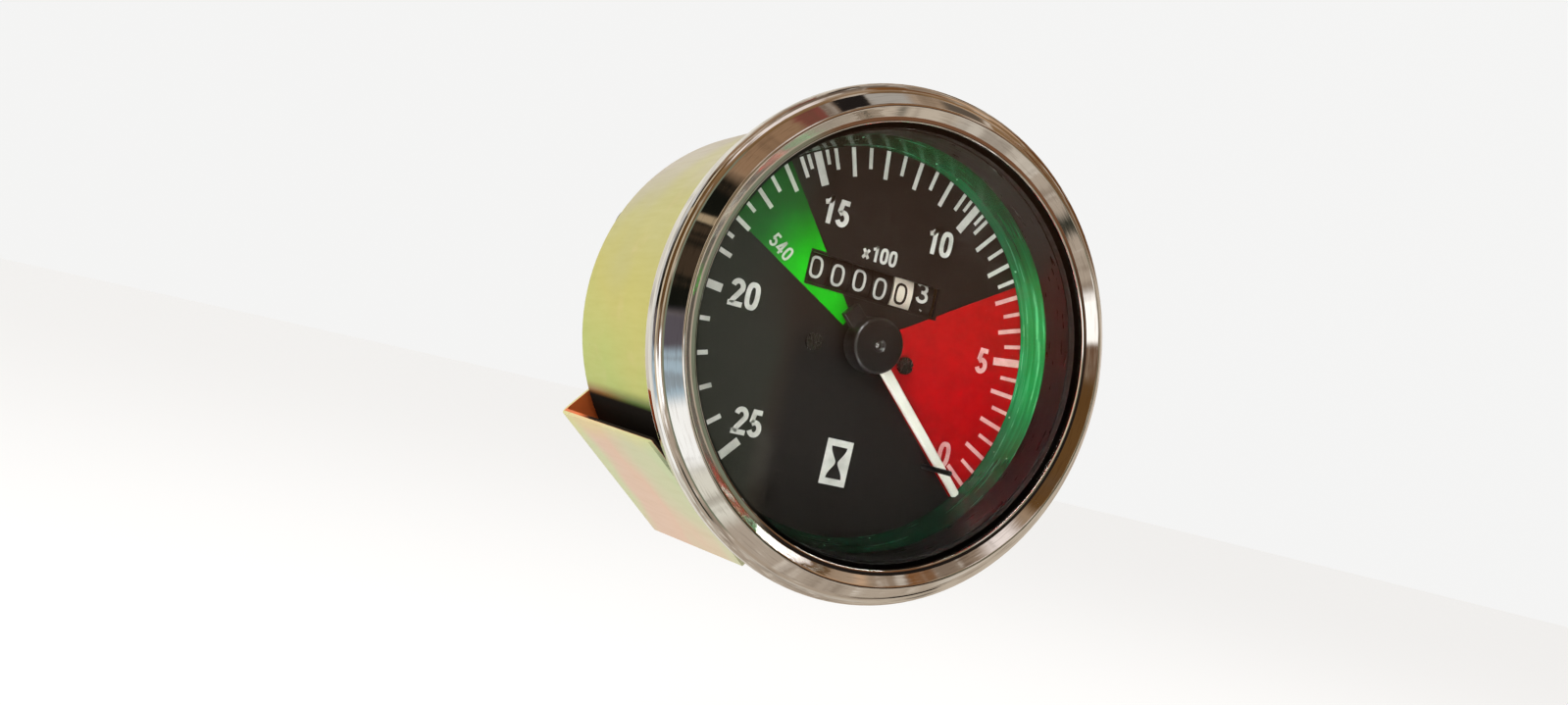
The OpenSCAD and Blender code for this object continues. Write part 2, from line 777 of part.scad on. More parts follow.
// The two teeth that move the next drum on, seen from the side
module carry_teeth() {
  for (side = [-1, 1]) rotate(180 + side * 180 / TEETH_DRUM)
    polygon([
      [space_tip_r + 0.2, -0.8], [space_root_r, -0.45], [space_root_r, 0.45],
      [space_tip_r + 0.2, 0.8]
    ]);
}

module drum(i) {
  last = i == DRUMS;
  gear_x = counter_drive_x - drum_x(i) - wheel_t / 2;
  color(i == DRUMS - 1 ? "ivory" : "black") counter_place() translate([drum_x(i), 0, 0])
    difference() {
      union() {
        across(-drum_w / 2, drum_w) circle(drum_r);
        if (last) across(0, gear_x + 0.1) circle(drum_hub_r + 1);
        if (last) across(gear_x, wheel_t) worm_wheel(TEETH_DRUM, drum_wheel_r, 90);
      }
      across(-drum_w / 2 - cut, gear_x + drum_w + wheel_t + 2 * cut)
        circle(counter_shaft_r + run_gap);
      across(-drum_w / 2 - cut, recess_l + cut) difference() {
        circle(space_tip_r);
        circle(drum_hub_r);
        if (i > 1) carry_teeth();
      }
      if (!last) across(drum_w / 2 - recess_l, recess_l + cut) difference() {
        polygon(gear_points(TEETH_DRUM, space_tip_r, space_root_r, 1.1, 1.45, 0));
        circle(drum_hub_r);
      }
    }
}

module transfer_pinion(i) {
  half = recess_l + (drum_pitch - drum_w) / 2 - 0.2;
  plate_half = (drum_pitch - drum_w) / 2;
  color("white") counter_place() translate([drum_x(i) + drum_pitch / 2, pinion_at, 0]) {
    across(-half, 2 * half) circle(neck_r);
    for (x = [-half, plate_half]) across(x, half - plate_half)
      polygon(gear_points(TEETH_PINION, pinion_tip_r, pinion_root_r, 0.5, 0.95, 0));
  }
}

// Thin plates between the drums, each holding a pinion by its neck
module pinion_carriers() {
  t = 0.6 * (drum_pitch - drum_w);
  tab_end = web_y - drum_y;
  color("silver") counter_place() for (i = [1 : DRUMS - 1])
    across(drum_x(i) + drum_pitch / 2 - t / 2, t) difference() {
      union() {
        circle(drum_hub_r);
        translate([0, -2.2]) square([tab_end, 4.4]);
      }
      circle(counter_shaft_r);
      translate([pinion_at, 0]) circle(neck_r + run_gap);
    }
}

module cross_shaft() {
  top = ear_high_z + ear_t + 0.8;
  bottom = ear_low_z - 0.8;
  color("lightsteelblue") translate([cross_x, cross_y, 0]) union() {
    translate([0, 0, bottom]) cylinder(r = fine_shaft_r, h = top - bottom);
    translate([0, 0, -wheel_t / 2]) linear_extrude(wheel_t)
      worm_wheel(TEETH_CROSS, cross_wheel_r, 180);
    translate([0, 0, ear_low_z + ear_t + 0.2])
      cylinder(r = fine_shaft_r + 0.8, h = -ear_low_z - ear_t - 0.2);
    translate([0, 0, counter_drive_z]) worm(3, 1);
  }
}

module counter_drive_shaft() {
  color("lightsteelblue") counter_drive_place() union() {
    bar(fine_shaft_r, drum_y - 5, cross_y + wheel_t);
    plate(cross_y - wheel_t / 2, wheel_t) worm_wheel(TEETH_COUNTER, counter_wheel_r, 180);
    bar(fine_shaft_r + 0.8, rear_back_y + 0.2, cross_y);
    translate([0, drum_y, 0]) toward(-90) rotate([-90, 0, 0]) worm(3, -1);
  }
}

// Deep-drawn case with its flange
module case() {
  bend = 0.3;
  corner_c = [case_r - case_corner, case_l - case_corner];
  color("palegoldenrod") difference() {
    turned(concat(
      [[neck_d / 2, case_l]],
      arc(corner_c, case_corner, 90, 0),
      [[case_r, -bezel_t + bend], [case_r + bend, -bezel_t], [flange_r, -bezel_t]],
      [[flange_r, flange_y], [case_in_r + 2 * bend, flange_y], [case_in_r, flange_y + 2 * bend]],
      arc(corner_c, case_corner - case_t, 0, 90),
      [[neck_d / 2, case_back_y]]
    ));
    at_pillars() bar(screw_shank_r + fit_gap, case_back_y - cut, case_l + cut);
    for (turn = [0, 180]) lamp_place(turn)
      bar(lamp_tube_r + fit_gap, case_back_y - cut, case_l + cut);
  }
}

// Threaded neck for the drive cable
module drive_neck() {
  lead_in = 0.8;
  color("lightgray") difference() {
    union() {
      turned([
        [0, base_y], [neck_d / 2, base_y], [neck_d / 2, neck_end_y - lead_in],
        [neck_d / 2 - lead_in, neck_end_y], [0, neck_end_y]
      ]);
      bar(collar_d / 2, case_l, case_l + collar_t);
    }
    bar(tail_shaft_r + run_gap, base_y - cut, neck_end_y);
    bar(ferrule_d / 2, neck_end_y - ferrule_l, neck_end_y + cut);
  }
}

// Bracket: a U of sheet over the case's back, its legs leaning in towards the panel
module bracket_section() {
  foot = case_r + leg_gap;
  tip = case_r + leg_tip_gap;
  front = panel_gap;
  lean = atan((foot - tip) / (case_l - front));
  bend_c = [foot - bend_r, case_l - bend_r];
  outer_r = bend_r + bracket_t;
  outer = concat(
    [[tip, front], [tip + bracket_t, front]],
    arc(bend_c, outer_r, -lean, 90, 6)
  );
  inner = concat(arc(bend_c, bend_r, 90, -lean, 6));
  mirrored = concat(outer, [for (p = [len(outer) - 1 : -1 : 0]) [-outer[p][0], outer[p][1]]]);
  hollow = concat(
    [for (p = inner) p],
    [[tip, front - cut], [-tip, front - cut]],
    [for (p = [len(inner) - 1 : -1 : 0]) [-inner[p][0], inner[p][1]]]
  );
  difference() {
    polygon(mirrored);
    polygon(hollow);
  }
}

module mounting_bracket() {
  reach = bezel_r + leg_gap;
  back = case_l + bracket_t;
  color("burlywood") difference() {
    toward(bracket_a) intersection() {
      translate([0, 0, -bracket_w]) linear_extrude(2 * bracket_w) bracket_section();
      across(-reach, 2 * reach) polygon([
        [panel_gap, -bracket_tip_w / 2], [case_l - bend_r, -bracket_w / 2],
        [back, -bracket_w / 2], [back, bracket_w / 2],
        [case_l - bend_r, bracket_w / 2], [panel_gap, bracket_tip_w / 2]
      ]);
    }
    bar(collar_d / 2 + fit_gap, case_l - cut, back + cut);
    at_studs() bar(stud_r + fit_gap, case_l - cut, back + cut);
  }
}

washer_t = 1.0;
module bracket_studs() {
  color("silver") at_studs() bar(stud_r, case_l, case_l + stud_l);
}

module bracket_washers() {
  y = case_l + bracket_t;
  color("silver") at_studs() difference() {
    bar(2 * stud_r, y, y + washer_t);
    bar(stud_r + fit_gap, y - cut, y + washer_t + cut);
  }
}

module bracket_nuts() {
  y = case_l + bracket_t + washer_t;
  height = 1.6 * stud_r;
  across_corners = 3.7 * stud_r;
  color("silver") at_studs() difference() {
    translate([0, y, 0]) rotate([-90, 0, 0])
      cylinder(d = across_corners, h = height, $fn = 6);
    bar(stud_r, y - cut, y + height + cut);
  }
}

// Lamps behind the light ring
module lamp_place(turn) toward(lamp_a + turn) translate([lamp_at, 0, 0]) children();

module lamp_holder(turn) {
  end_y = case_l + lamp_l;
  color("dimgray") lamp_place(turn) difference() {
    turned(concat(
      [[0, case_back_y - lamp_tube_l], [lamp_tube_r, case_back_y - lamp_tube_l]],
      [[lamp_tube_r, case_l], [lamp_r, case_l], [lamp_r, case_l + 2]],
      [[lamp_r - 0.7, case_l + 3]],
      arc([lamp_r - 2.7, end_y - 2], 2, 0, 90, 6),
      [[0, end_y]]
    ));
    bar(bulb_r + 0.3, case_back_y - lamp_tube_l - cut, case_l + 3);
  }
}

module bulb(turn) {
  base_end_y = case_l + 2.7;
  glass_end_y = case_back_y - lamp_tube_l - 8;
  color("white", 0.5) lamp_place(turn) turned(concat(
    [[0, glass_end_y - bulb_r + 1]],
    arc([0, glass_end_y + 1], bulb_r, -84, 0, 8),
    [[bulb_r, base_end_y - 2], [bulb_r - 1.5, base_end_y], [0, base_end_y]]
  ));
}

bezel();
lens();
lens_seal();
spacer_ring();
light_ring();
dial_plate();
red_sector();
green_sector();
scale_marks();
dial_screws();
stop_pin();
pointer_hub();
pointer_blade();
pointer_spindle();
drag_cup();
hairspring();
magnet();
drive_shaft();
keeper_ring();
front_plate();
rear_plate();
base_plate();
dial_posts();
plate_pillars();
movement_screws();
front_bush();
rear_bush();
counter_frame();
counter_shaft();
pinion_carriers();
drum(1);  // drum_1
drum(2);  // drum_2
drum(3);  // drum_3
drum(4);  // drum_4
drum(5);  // drum_5
drum(6);  // drum_6
transfer_pinion(1);  // transfer_pinion_1
transfer_pinion(2);  // transfer_pinion_2
transfer_pinion(3);  // transfer_pinion_3
transfer_pinion(4);  // transfer_pinion_4
transfer_pinion(5);  // transfer_pinion_5
cross_shaft();
counter_drive_shaft();
case();
drive_neck();
mounting_bracket();
bracket_studs();
bracket_washers();
bracket_nuts();
lamp_holder(0);  // lamp_holder_left
lamp_holder(180);  // lamp_holder_right
bulb(0);  // bulb_left
bulb(180);  // bulb_right
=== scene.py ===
import json
import math

import bmesh
import bpy
from mathutils import Matrix, Vector


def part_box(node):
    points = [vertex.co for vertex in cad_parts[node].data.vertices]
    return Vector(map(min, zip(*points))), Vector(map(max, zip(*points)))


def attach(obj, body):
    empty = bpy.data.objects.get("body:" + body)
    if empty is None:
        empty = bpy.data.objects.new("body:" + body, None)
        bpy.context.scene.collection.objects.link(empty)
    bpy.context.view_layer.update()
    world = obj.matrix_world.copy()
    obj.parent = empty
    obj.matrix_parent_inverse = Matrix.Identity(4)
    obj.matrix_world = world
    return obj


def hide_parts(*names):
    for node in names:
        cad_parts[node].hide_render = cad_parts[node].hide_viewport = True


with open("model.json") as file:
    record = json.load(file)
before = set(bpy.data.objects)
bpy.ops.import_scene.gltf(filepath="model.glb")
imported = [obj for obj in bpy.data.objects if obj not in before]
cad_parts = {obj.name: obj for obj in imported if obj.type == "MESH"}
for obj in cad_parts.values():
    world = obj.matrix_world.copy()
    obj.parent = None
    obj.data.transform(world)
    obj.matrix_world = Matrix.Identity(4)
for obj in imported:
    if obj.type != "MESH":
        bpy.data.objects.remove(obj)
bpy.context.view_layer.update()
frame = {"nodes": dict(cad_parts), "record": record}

MM = 0.001
NODES = frame["nodes"]

# The frame's own sizes, in metres
DIAL_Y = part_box("dial_plate")[0].y
PRINT_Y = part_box("scale_marks")[0].y
DRUM_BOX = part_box("drum_2")
DRUM_R = (DRUM_BOX[1].z - DRUM_BOX[0].z) / 2
DRUM_Y = (DRUM_BOX[1].y + DRUM_BOX[0].y) / 2
DRUM_Z = (DRUM_BOX[1].z + DRUM_BOX[0].z) / 2
DRUM_PITCH = DRUM_BOX[0].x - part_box("drum_1")[0].x
DRUMS = 6
CASE_R = (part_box("case")[1].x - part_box("case")[0].x) / 2
CASE_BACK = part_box("case")[1].y
# The bore that the drive shaft runs in
SHAFT_BORE_R = 3.05 * MM

# Camera at the photograph's viewing angle
CAMERA_PLACE = (-0.12903, -0.21778, -0.01723)
CAMERA_FORWARD = (0.43688, 0.89846, 0.04357)
CAMERA_ROLL = math.radians(13.23)
CAMERA_LENS = 27.02

# Where the red field lies, as directions from the dial's right
RED_FROM = math.radians(-42.4)
RED_TO = math.radians(31.2)

# The direction in which the bracket lies across the case
BRACKET_TURN = math.radians(51.5)
# The middle of its legs' sheet: distance from the axis at the panel, and growth with depth
LEG_MIDDLE, LEG_LEAN = 51.81 * MM, 0.0387

# Brightness of the room, and of the pale floor and the shell behind it
ROOM_STRENGTH = 1.0
FLOOR_GLOW = 0.80
SHELL_GLOW = 0.9


def srgb(r, g, b):
    """A linear colour from 0-255 display values."""
    def linear(v):
        v /= 255
        return v / 12.92 if v <= 0.04045 else ((v + 0.055) / 1.055) ** 2.4
    return (linear(r), linear(g), linear(b), 1)


class Tree:
    """A node tree, with short ways to add noise, ramps and mixes."""

    def __init__(self, tree):
        self.nodes = tree.nodes
        self.links = tree.links

    def feed(self, target, value):
        """Sets a socket to a constant, or links it to an output."""
        if isinstance(value, bpy.types.NodeSocket):
            self.links.new(value, target)
        else:
            target.default_value = value

    def node(self, kind, inputs=(), **settings):
        made = self.nodes.new(kind)
        for key, value in settings.items():
            setattr(made, key, value)
        for index, value in dict(inputs).items():
            self.feed(made.inputs[index], value)
        return made

    def math(self, operation, a, b=0.0, c=0.0):
        return self.node("ShaderNodeMath", {0: a, 1: b, 2: c}, operation=operation).outputs[0]

    def smooth(self, value, start, end):
        """0 at start, 1 at end and a soft step between them."""
        inputs = {"Value": value, "From Min": start, "From Max": end}
        return self.node("ShaderNodeMapRange", inputs, interpolation_type="SMOOTHSTEP").outputs[0]

    def share(self, value, start, end):
        """The part of the way that a value has gone from start to end."""
        inputs = {"Value": value, "From Min": start, "From Max": end}
        return self.node("ShaderNodeMapRange", inputs).outputs[0]

    def both(self, a, b):
        return self.math("MULTIPLY", a, b)

    def near(self, value, place, half, soft):
        """1 within half of a place, falling to 0 over soft."""
        away = self.math("ABSOLUTE", self.math("SUBTRACT", value, place))
        return self.smooth(away, half + soft, half)

    def ramp(self, value, *stops):
        ramp = self.node("ShaderNodeValToRGB", {"Fac": value})
        elements = ramp.color_ramp.elements
        while len(elements) < len(stops):
            elements.new(0.5)
        for element, (place, colour) in zip(elements, stops):
            element.position = place
            if not isinstance(colour, (tuple, list)):
                colour = (colour, colour, colour, 1)
            element.color = colour
        return ramp.outputs["Color"]

    def mix(self, factor, a, b):
        mixed = self.node("ShaderNodeMix", data_type="RGBA")
        self.feed(mixed.inputs[0], factor)
        self.feed(mixed.inputs[6], a)
        self.feed(mixed.inputs[7], b)
        return mixed.outputs[2]


class Shader(Tree):
    """One material's node tree about its surface shader."""

    def __init__(self, name, **settings):
        self.material = bpy.data.materials.new(name)
        self.material.use_nodes = True
        super().__init__(self.material.node_tree)
        self.bsdf = self.nodes["Principled BSDF"]
        for key, value in settings.items():
            self.set(key.replace("_", " ").title().replace("Ior", "IOR"), value)
        self.coordinates = self.nodes.new("ShaderNodeTexCoord").outputs["Object"]
        self.xyz = self.node("ShaderNodeSeparateXYZ", {0: self.coordinates}).outputs

    def set(self, socket, value):
        self.feed(self.bsdf.inputs[socket], value)

    def noise(self, scale, detail, stretch=(1, 1, 1)):
        mapping = {"Vector": self.coordinates, "Scale": stretch}
        place = self.node("ShaderNodeMapping", mapping).outputs[0]
        inputs = {"Vector": place, "Scale": scale, "Detail": detail, "Roughness": 0.55}
        return self.node("ShaderNodeTexNoise", inputs).outputs["Fac"]

    def polar(self):
        """Distance from the instrument's axis, and the cosine and sine of the direction."""
        x, z = self.xyz[0], self.xyz[2]
        squares = self.math("ADD", self.both(x, x), self.both(z, z))
        radius = self.math("MAXIMUM", self.math("SQRT", squares), 0.1 * MM)
        return radius, self.math("DIVIDE", x, radius), self.math("DIVIDE", z, radius)

    def turned_noise(self, scale, detail, loop=4 * MM):
        """Noise drawn out round the axis, with no seam, as turning and polishing leave it.

        The larger the loop, the shorter its streaks.
        """
        radius, cosine, sine = self.polar()
        parts = {0: radius, 1: self.xyz[1], 2: self.both(cosine, loop)}
        place = self.node("ShaderNodeCombineXYZ", parts).outputs[0]
        inputs = {"Vector": place, "W": self.both(sine, loop), "Scale": scale, "Detail": detail}
        return self.node("ShaderNodeTexNoise", inputs, noise_dimensions="4D").outputs["Fac"]

    def bump(self, height, depth, strength, under=None):
        """Relief with a depth in millimetres, on top of what lies under it."""
        inputs = {"Height": height, "Distance": depth * MM, "Strength": strength}
        if under:
            inputs["Normal"] = under
        return self.node("ShaderNodeBump", inputs).outputs[0]

    def roughness(self, value, low, high):
        """Roughness that goes from low to high where a noise grows."""
        self.set("Roughness", self.ramp(value, (0.3, low), (0.7, high)))

    def relief(self, height, depth, strength):
        self.set("Normal", self.bump(height, depth, strength))


# Materials

def chrome():
    """Bright plating over spun sheet: faint polishing lines, thin haze and a slow wave."""
    s = Shader("chrome", metallic=1.0)
    cloud = s.noise(60, 2)
    plating = s.mix(s.smooth(cloud, 0.35, 0.75), (0.84, 0.83, 0.815, 1), (0.78, 0.755, 0.73, 1))
    lines = s.turned_noise(2600, 2)
    worn = s.both(s.smooth(lines, 0.52, 0.68), 0.45)
    s.set("Base Color", s.mix(worn, plating, (0.60, 0.57, 0.54, 1)))
    smear = s.noise(180, 4)
    s.set("Roughness", s.ramp(s.both(lines, smear), (0.1, 0.03), (0.3, 0.06), (0.5, 0.13)))
    wave = s.bump(s.noise(70, 1), 0.4, 0.22)
    rings = s.bump(s.turned_noise(700, 2, 6 * MM), 0.04, 0.35, wave)
    s.set("Normal", s.bump(lines, 0.01, 0.08, rings))
    return s.material


def glass():
    s = Shader("glass", roughness=0.0, transmission_weight=1.0)
    s.set("IOR", 1.5)
    dust = s.noise(900, 6)
    s.set("Base Color", s.ramp(dust, (0.3, (0.96, 0.975, 0.965, 1)), (0.8, (0.93, 0.95, 0.94, 1))))
    s.set("Roughness", s.ramp(s.noise(45, 3), (0.55, 0.0), (0.85, 0.02)))
    return s.material


def rubber():
    s = Shader("rubber")
    black, greyed = (0.012, 0.012, 0.012, 1), (0.03, 0.028, 0.026, 1)
    s.set("Base Color", s.ramp(s.noise(500, 4), (0.3, black), (0.8, greyed)))
    s.roughness(s.noise(900, 3), 0.45, 0.65)
    s.relief(s.noise(2500, 3), 0.05, 0.4)
    return s.material


def black_ring():
    """Dark paper-like wall with faint marks running round it."""
    s = Shader("black ring")
    streaks = s.turned_noise(900, 3, 10 * MM)
    s.set("Base Color", s.ramp(streaks, (0.35, srgb(8, 9, 9)), (0.55, srgb(20, 21, 21)),
                               (0.75, srgb(40, 40, 39))))
    s.roughness(streaks, 0.24, 0.46)
    s.relief(streaks, 0.1, 0.3)
    return s.material


# Where the light ring has its painted glow, a painted highlight on its inner rim and painted shade:
# directions in radians, radii and heights
GLOW_AT, GLOW_HALF, GLOW_FADE = 0.18, 0.12, 0.55
PAINTED_SHADE_PAST_TOP = (1.48, 1.85)
PAINTED_SHADE_BELOW = (-14 * MM, -34 * MM)
RIM_HIGHLIGHT = (44.6 * MM, 43.7 * MM)


def green_acrylic():
    """Green light ring: fine streaks round it, a painted glow on the right, a painted highlight
    along its inner rim, painted shade at the bottom and upper left, and small trapped bubbles.
    """
    s = Shader("green acrylic", transmission_weight=0.25)
    s.set("IOR", 1.49)
    direction = s.math("ARCTAN2", s.xyz[2], s.xyz[0])
    streaks = s.turned_noise(1300, 2, 2 * MM)
    # A shaded and a lit copy of the streaked green, mixed by direction into a painted glow on the
    # right
    deep = s.ramp(streaks, (0.30, srgb(0, 66, 36)), (0.50, srgb(0, 84, 46)),
                  (0.72, srgb(10, 108, 66)))
    bright = s.ramp(streaks, (0.30, srgb(0, 134, 64)), (0.50, srgb(0, 170, 84)),
                    (0.72, srgb(84, 226, 148)))
    sheen = s.mix(s.near(direction, GLOW_AT, GLOW_HALF, GLOW_FADE), deep, bright)
    # Painted highlight along the ring's inner rim
    rim = s.smooth(s.polar()[0], *RIM_HIGHLIGHT)
    sheen = s.mix(s.both(rim, 0.35), sheen, srgb(30, 130, 86))
    # Painted shade at the bottom and on the upper left
    dark = s.math("MAXIMUM", s.smooth(s.xyz[2], *PAINTED_SHADE_BELOW), s.smooth(direction, *PAINTED_SHADE_PAST_TOP))
    sheen = s.mix(s.both(dark, 0.85), sheen, srgb(6, 26, 21))
    cells = s.node("ShaderNodeTexVoronoi", {"Vector": s.coordinates, "Scale": 300.0})
    sparse = s.smooth(cells.outputs["Color"], 0.55, 0.57)
    beads = s.both(s.smooth(cells.outputs["Distance"], 0.10, 0.05), sparse)
    s.set("Base Color", s.mix(beads, sheen, srgb(170, 240, 200)))
    s.roughness(streaks, 0.14, 0.30)
    s.relief(streaks, 0.04, 0.12)
    return s.material


def satin_black(name, low, high, smooth=0.30, rough=0.44):
    s = Shader(name)
    s.set("Base Color", s.ramp(s.noise(260, 5), (0.3, low), (0.75, high)))
    s.roughness(s.noise(700, 4), smooth, rough)
    s.relief(s.noise(3200, 3), 0.02, 0.25)
    return s.material


def printed_finish(s, smooth=0.32):
    """The surface of screen print: a little uneven in gloss, with a fine grain."""
    s.roughness(s.noise(800, 3), smooth, smooth + 0.16)
    s.relief(s.noise(2600, 3), 0.02, 0.5)
    return s.material


def ink(name, colour, deep):
    """Screen print that is a little uneven in cover."""
    s = Shader(name, specular_ior_level=0.25)
    s.set("Base Color", s.ramp(s.noise(340, 5), (0.3, deep), (0.62, colour)))
    return printed_finish(s)


def white_ink():
    """Off-white print that takes on some red where the red field lies under it."""
    s = Shader("white ink")
    direction = s.math("ARCTAN2", s.xyz[2], s.xyz[0])
    middle = (RED_FROM + RED_TO) / 2
    over_red = s.near(direction, middle, (RED_TO - RED_FROM) / 2, 0.001)
    cover = s.noise(340, 5)
    plain = s.ramp(cover, (0.3, srgb(208, 209, 202)), (0.62, srgb(232, 232, 227)))
    tinted = s.ramp(cover, (0.3, srgb(222, 150, 148)), (0.62, srgb(240, 186, 182)))
    s.set("Base Color", s.mix(over_red, plain, tinted))
    return printed_finish(s)


# From this radius to that the green print goes from painted light to painted shade
GREEN_LIT_TO_SHADED = (22 * MM, 36 * MM)


def green_ink():
    """Green print with painted light near the counter, giving way to painted shade towards the rim.
    """
    s = Shader("green ink", specular_ior_level=0.25)
    cover = s.noise(90, 3)
    # A lit and a shaded copy of the green ink, mixed by radius into painted light and painted shade
    lit_green = s.ramp(cover, (0.3, srgb(0, 152, 6)), (0.65, srgb(0, 176, 8)))
    shaded_green = s.ramp(cover, (0.3, srgb(6, 74, 20)), (0.65, srgb(14, 100, 30)))
    s.set("Base Color", s.mix(s.smooth(s.polar()[0], *GREEN_LIT_TO_SHADED), lit_green, shaded_green))
    return printed_finish(s, 0.34)


def gloss_black():
    s = Shader("black gloss")
    s.set("Base Color", s.ramp(s.noise(120, 3), (0.3, srgb(14, 12, 12)), (0.8, srgb(26, 23, 22))))
    s.set("Roughness", s.ramp(s.noise(300, 3), (0.3, 0.28), (0.75, 0.38)))
    s.relief(s.noise(260, 1), 0.04, 0.08)
    return s.material


def machined(name, light, dark, smooth, rough):
    """Turned or drawn metal with fine lines round the axis."""
    s = Shader(name, metallic=1.0)
    lines = s.turned_noise(2400, 3, 3 * MM)
    s.set("Base Color", s.ramp(s.noise(150, 4), (0.3, dark), (0.7, light)))
    s.roughness(lines, smooth, rough)
    s.relief(lines, 0.03, 0.4)
    return s.material


# How metallic the clean plated sheet is; painted shade takes it away
SHEET_METALLIC = 0.85


def chromate_finish(s, tint, painted_shade):
    """Satin sheet with faint lines along the case's depth; painted shade, given as a mask, makes it
    near-black, less metallic and rough.
    """
    drawn = s.noise(700, 3, stretch=(1, 0.12, 1))
    specks = s.smooth(s.noise(420, 2), 0.74, 0.82)
    worn = s.mix(s.both(s.smooth(drawn, 0.45, 0.85), 0.08), tint, srgb(176, 162, 112))
    plated = s.mix(s.both(specks, 0.3), worn, srgb(120, 104, 66))
    # Painted shade where the mask is: near-black, with its metal and gloss taken away
    s.set("Base Color", s.mix(painted_shade, plated, srgb(16, 12, 8)))
    s.set("Metallic", s.math("MULTIPLY_ADD", painted_shade, -SHEET_METALLIC, SHEET_METALLIC))
    satin = s.ramp(drawn, (0.3, 0.36), (0.7, 0.44))
    s.set("Roughness", s.math("ADD", satin, s.both(painted_shade, 0.4)))
    s.relief(drawn, 0.03, 0.12)
    return s.material


# The case's wall starts at this radius; beside the bracket it has a painted reflection and then
# painted shade
WALL = (49.3 * MM, 49.7 * MM)
REFLECTION_BESIDE = (22.6 * MM, 19.6 * MM)
SHADE_BESIDE = (20.6 * MM, 19.0 * MM)
REFLECTION_DEPTH = (20 * MM, 50 * MM)
# How far the tints of case and bracket wander from their level
CASE_DRIFT, BRACKET_DRIFT = 50 * MM, 56 * MM


def case_zinc():
    """Yellow chromate, green below and a paler rose-grey on top (partly painted light), with
    painted reflection and shade by the bracket.
    """
    s = Shader("yellow zinc case", specular_ior_level=0.05)
    height = s.math("ADD", s.xyz[2], drift(s, 24, CASE_DRIFT))
    # Tint by height: partly the chromate's own tint, partly painted light that makes the top paler
    tint = s.ramp(s.share(height, -CASE_R, CASE_R), (0.0, srgb(160, 188, 112)),
                  (0.26, srgb(178, 194, 108)), (0.50, srgb(194, 188, 106)),
                  (0.66, srgb(188, 184, 124)), (0.82, srgb(188, 181, 166)))
    rose = s.both(s.smooth(s.noise(55, 3), 0.58, 0.78), 0.25)
    tint = s.mix(rose, tint, srgb(226, 196, 160))
    wall = s.smooth(s.polar()[0], *WALL)
    beside = s.math("ABSOLUTE", bracket_axes(s)[1])
    # Painted reflection beside the bracket: a shaded green in front, the bracket's copper further
    # back
    painted_reflection = s.mix(s.smooth(s.xyz[1], *REFLECTION_DEPTH), srgb(88, 112, 50), srgb(150, 96, 40))
    tint = s.mix(s.both(s.smooth(beside, *REFLECTION_BESIDE), wall), tint, painted_reflection)
    # Painted shade in the gap beside the bracket
    return chromate_finish(s, tint, s.both(s.smooth(beside, *SHADE_BESIDE), wall))


def drift(s, scale, reach):
    """Slow noise between half the reach below zero and half above."""
    return s.math("MULTIPLY_ADD", s.noise(scale, 2), reach, -reach / 2)


def bracket_axes(s):
    """Distances along and across the bracket, seen from the front."""
    cosine, sine = math.cos(BRACKET_TURN), math.sin(BRACKET_TURN)
    along = s.math("ADD", s.both(s.xyz[0], cosine), s.both(s.xyz[2], sine))
    across = s.math("SUBTRACT", s.both(s.xyz[2], cosine), s.both(s.xyz[0], sine))
    return along, across


# The bracket: depth over which its tint runs, its yellow edge, and its inner side with painted
# shade towards the front
TINT_DEPTH = 60 * MM
YELLOW_ACROSS = (12 * MM, 19 * MM)
INNER_SIDE = (0.1 * MM, -0.1 * MM)
WEB_INSIDE = (CASE_BACK + 0.3 * MM, CASE_BACK + 0.1 * MM)
SHADE_DEPTH = (54 * MM, 40 * MM)


def bracket_zinc():
    """The same plating on the bracket: rose and pale green outside, copper inside with painted
    shade towards the front.
    """
    s = Shader("yellow zinc bracket", specular_ior_level=0.05)
    along, across = bracket_axes(s)
    cloud = drift(s, 30, BRACKET_DRIFT)
    depth = s.math("ADD", s.xyz[1], cloud)
    tint = s.ramp(s.share(depth, 0.0, TINT_DEPTH), (0.05, srgb(196, 208, 168)),
                  (0.34, srgb(208, 204, 174)), (0.58, srgb(222, 192, 172)),
                  (0.78, srgb(222, 194, 176)), (0.97, srgb(206, 212, 174)))
    edge = s.both(s.smooth(s.math("ADD", across, s.both(cloud, 0.3)), *YELLOW_ACROSS), 0.5)
    tint = s.mix(edge, tint, srgb(226, 216, 140))
    lean = s.math("MULTIPLY_ADD", s.xyz[1], LEG_LEAN, LEG_MIDDLE)
    inside = s.smooth(s.math("SUBTRACT", s.math("ABSOLUTE", along), lean), *INNER_SIDE)
    inside = s.both(inside, s.smooth(s.xyz[1], *WEB_INSIDE))
    # Painted shade on the inner side towards the front, where the bracket closes on the case
    shade_towards_front = s.smooth(s.xyz[1], *SHADE_DEPTH)
    return chromate_finish(s, s.mix(inside, tint, srgb(222, 112, 56)), s.both(inside, shade_towards_front))


def cast_metal(name, light, dark, rough=0.45):
    """Metal with a grainy cast skin."""
    s = Shader(name, metallic=0.9)
    grain = s.noise(1400, 4)
    s.set("Base Color", s.ramp(s.noise(120, 4), (0.3, dark), (0.7, light)))
    s.roughness(grain, rough - 0.08, rough + 0.12)
    s.relief(grain, 0.05, 0.5)
    return s.material


def moulded(name, light, dark, rough):
    """Plastic or paint with a slight grain."""
    s = Shader(name)
    s.set("Base Color", s.ramp(s.noise(220, 4), (0.3, dark), (0.7, light)))
    s.roughness(s.noise(600, 3), rough - 0.08, rough + 0.1)
    s.relief(s.noise(1800, 3), 0.03, 0.35)
    return s.material


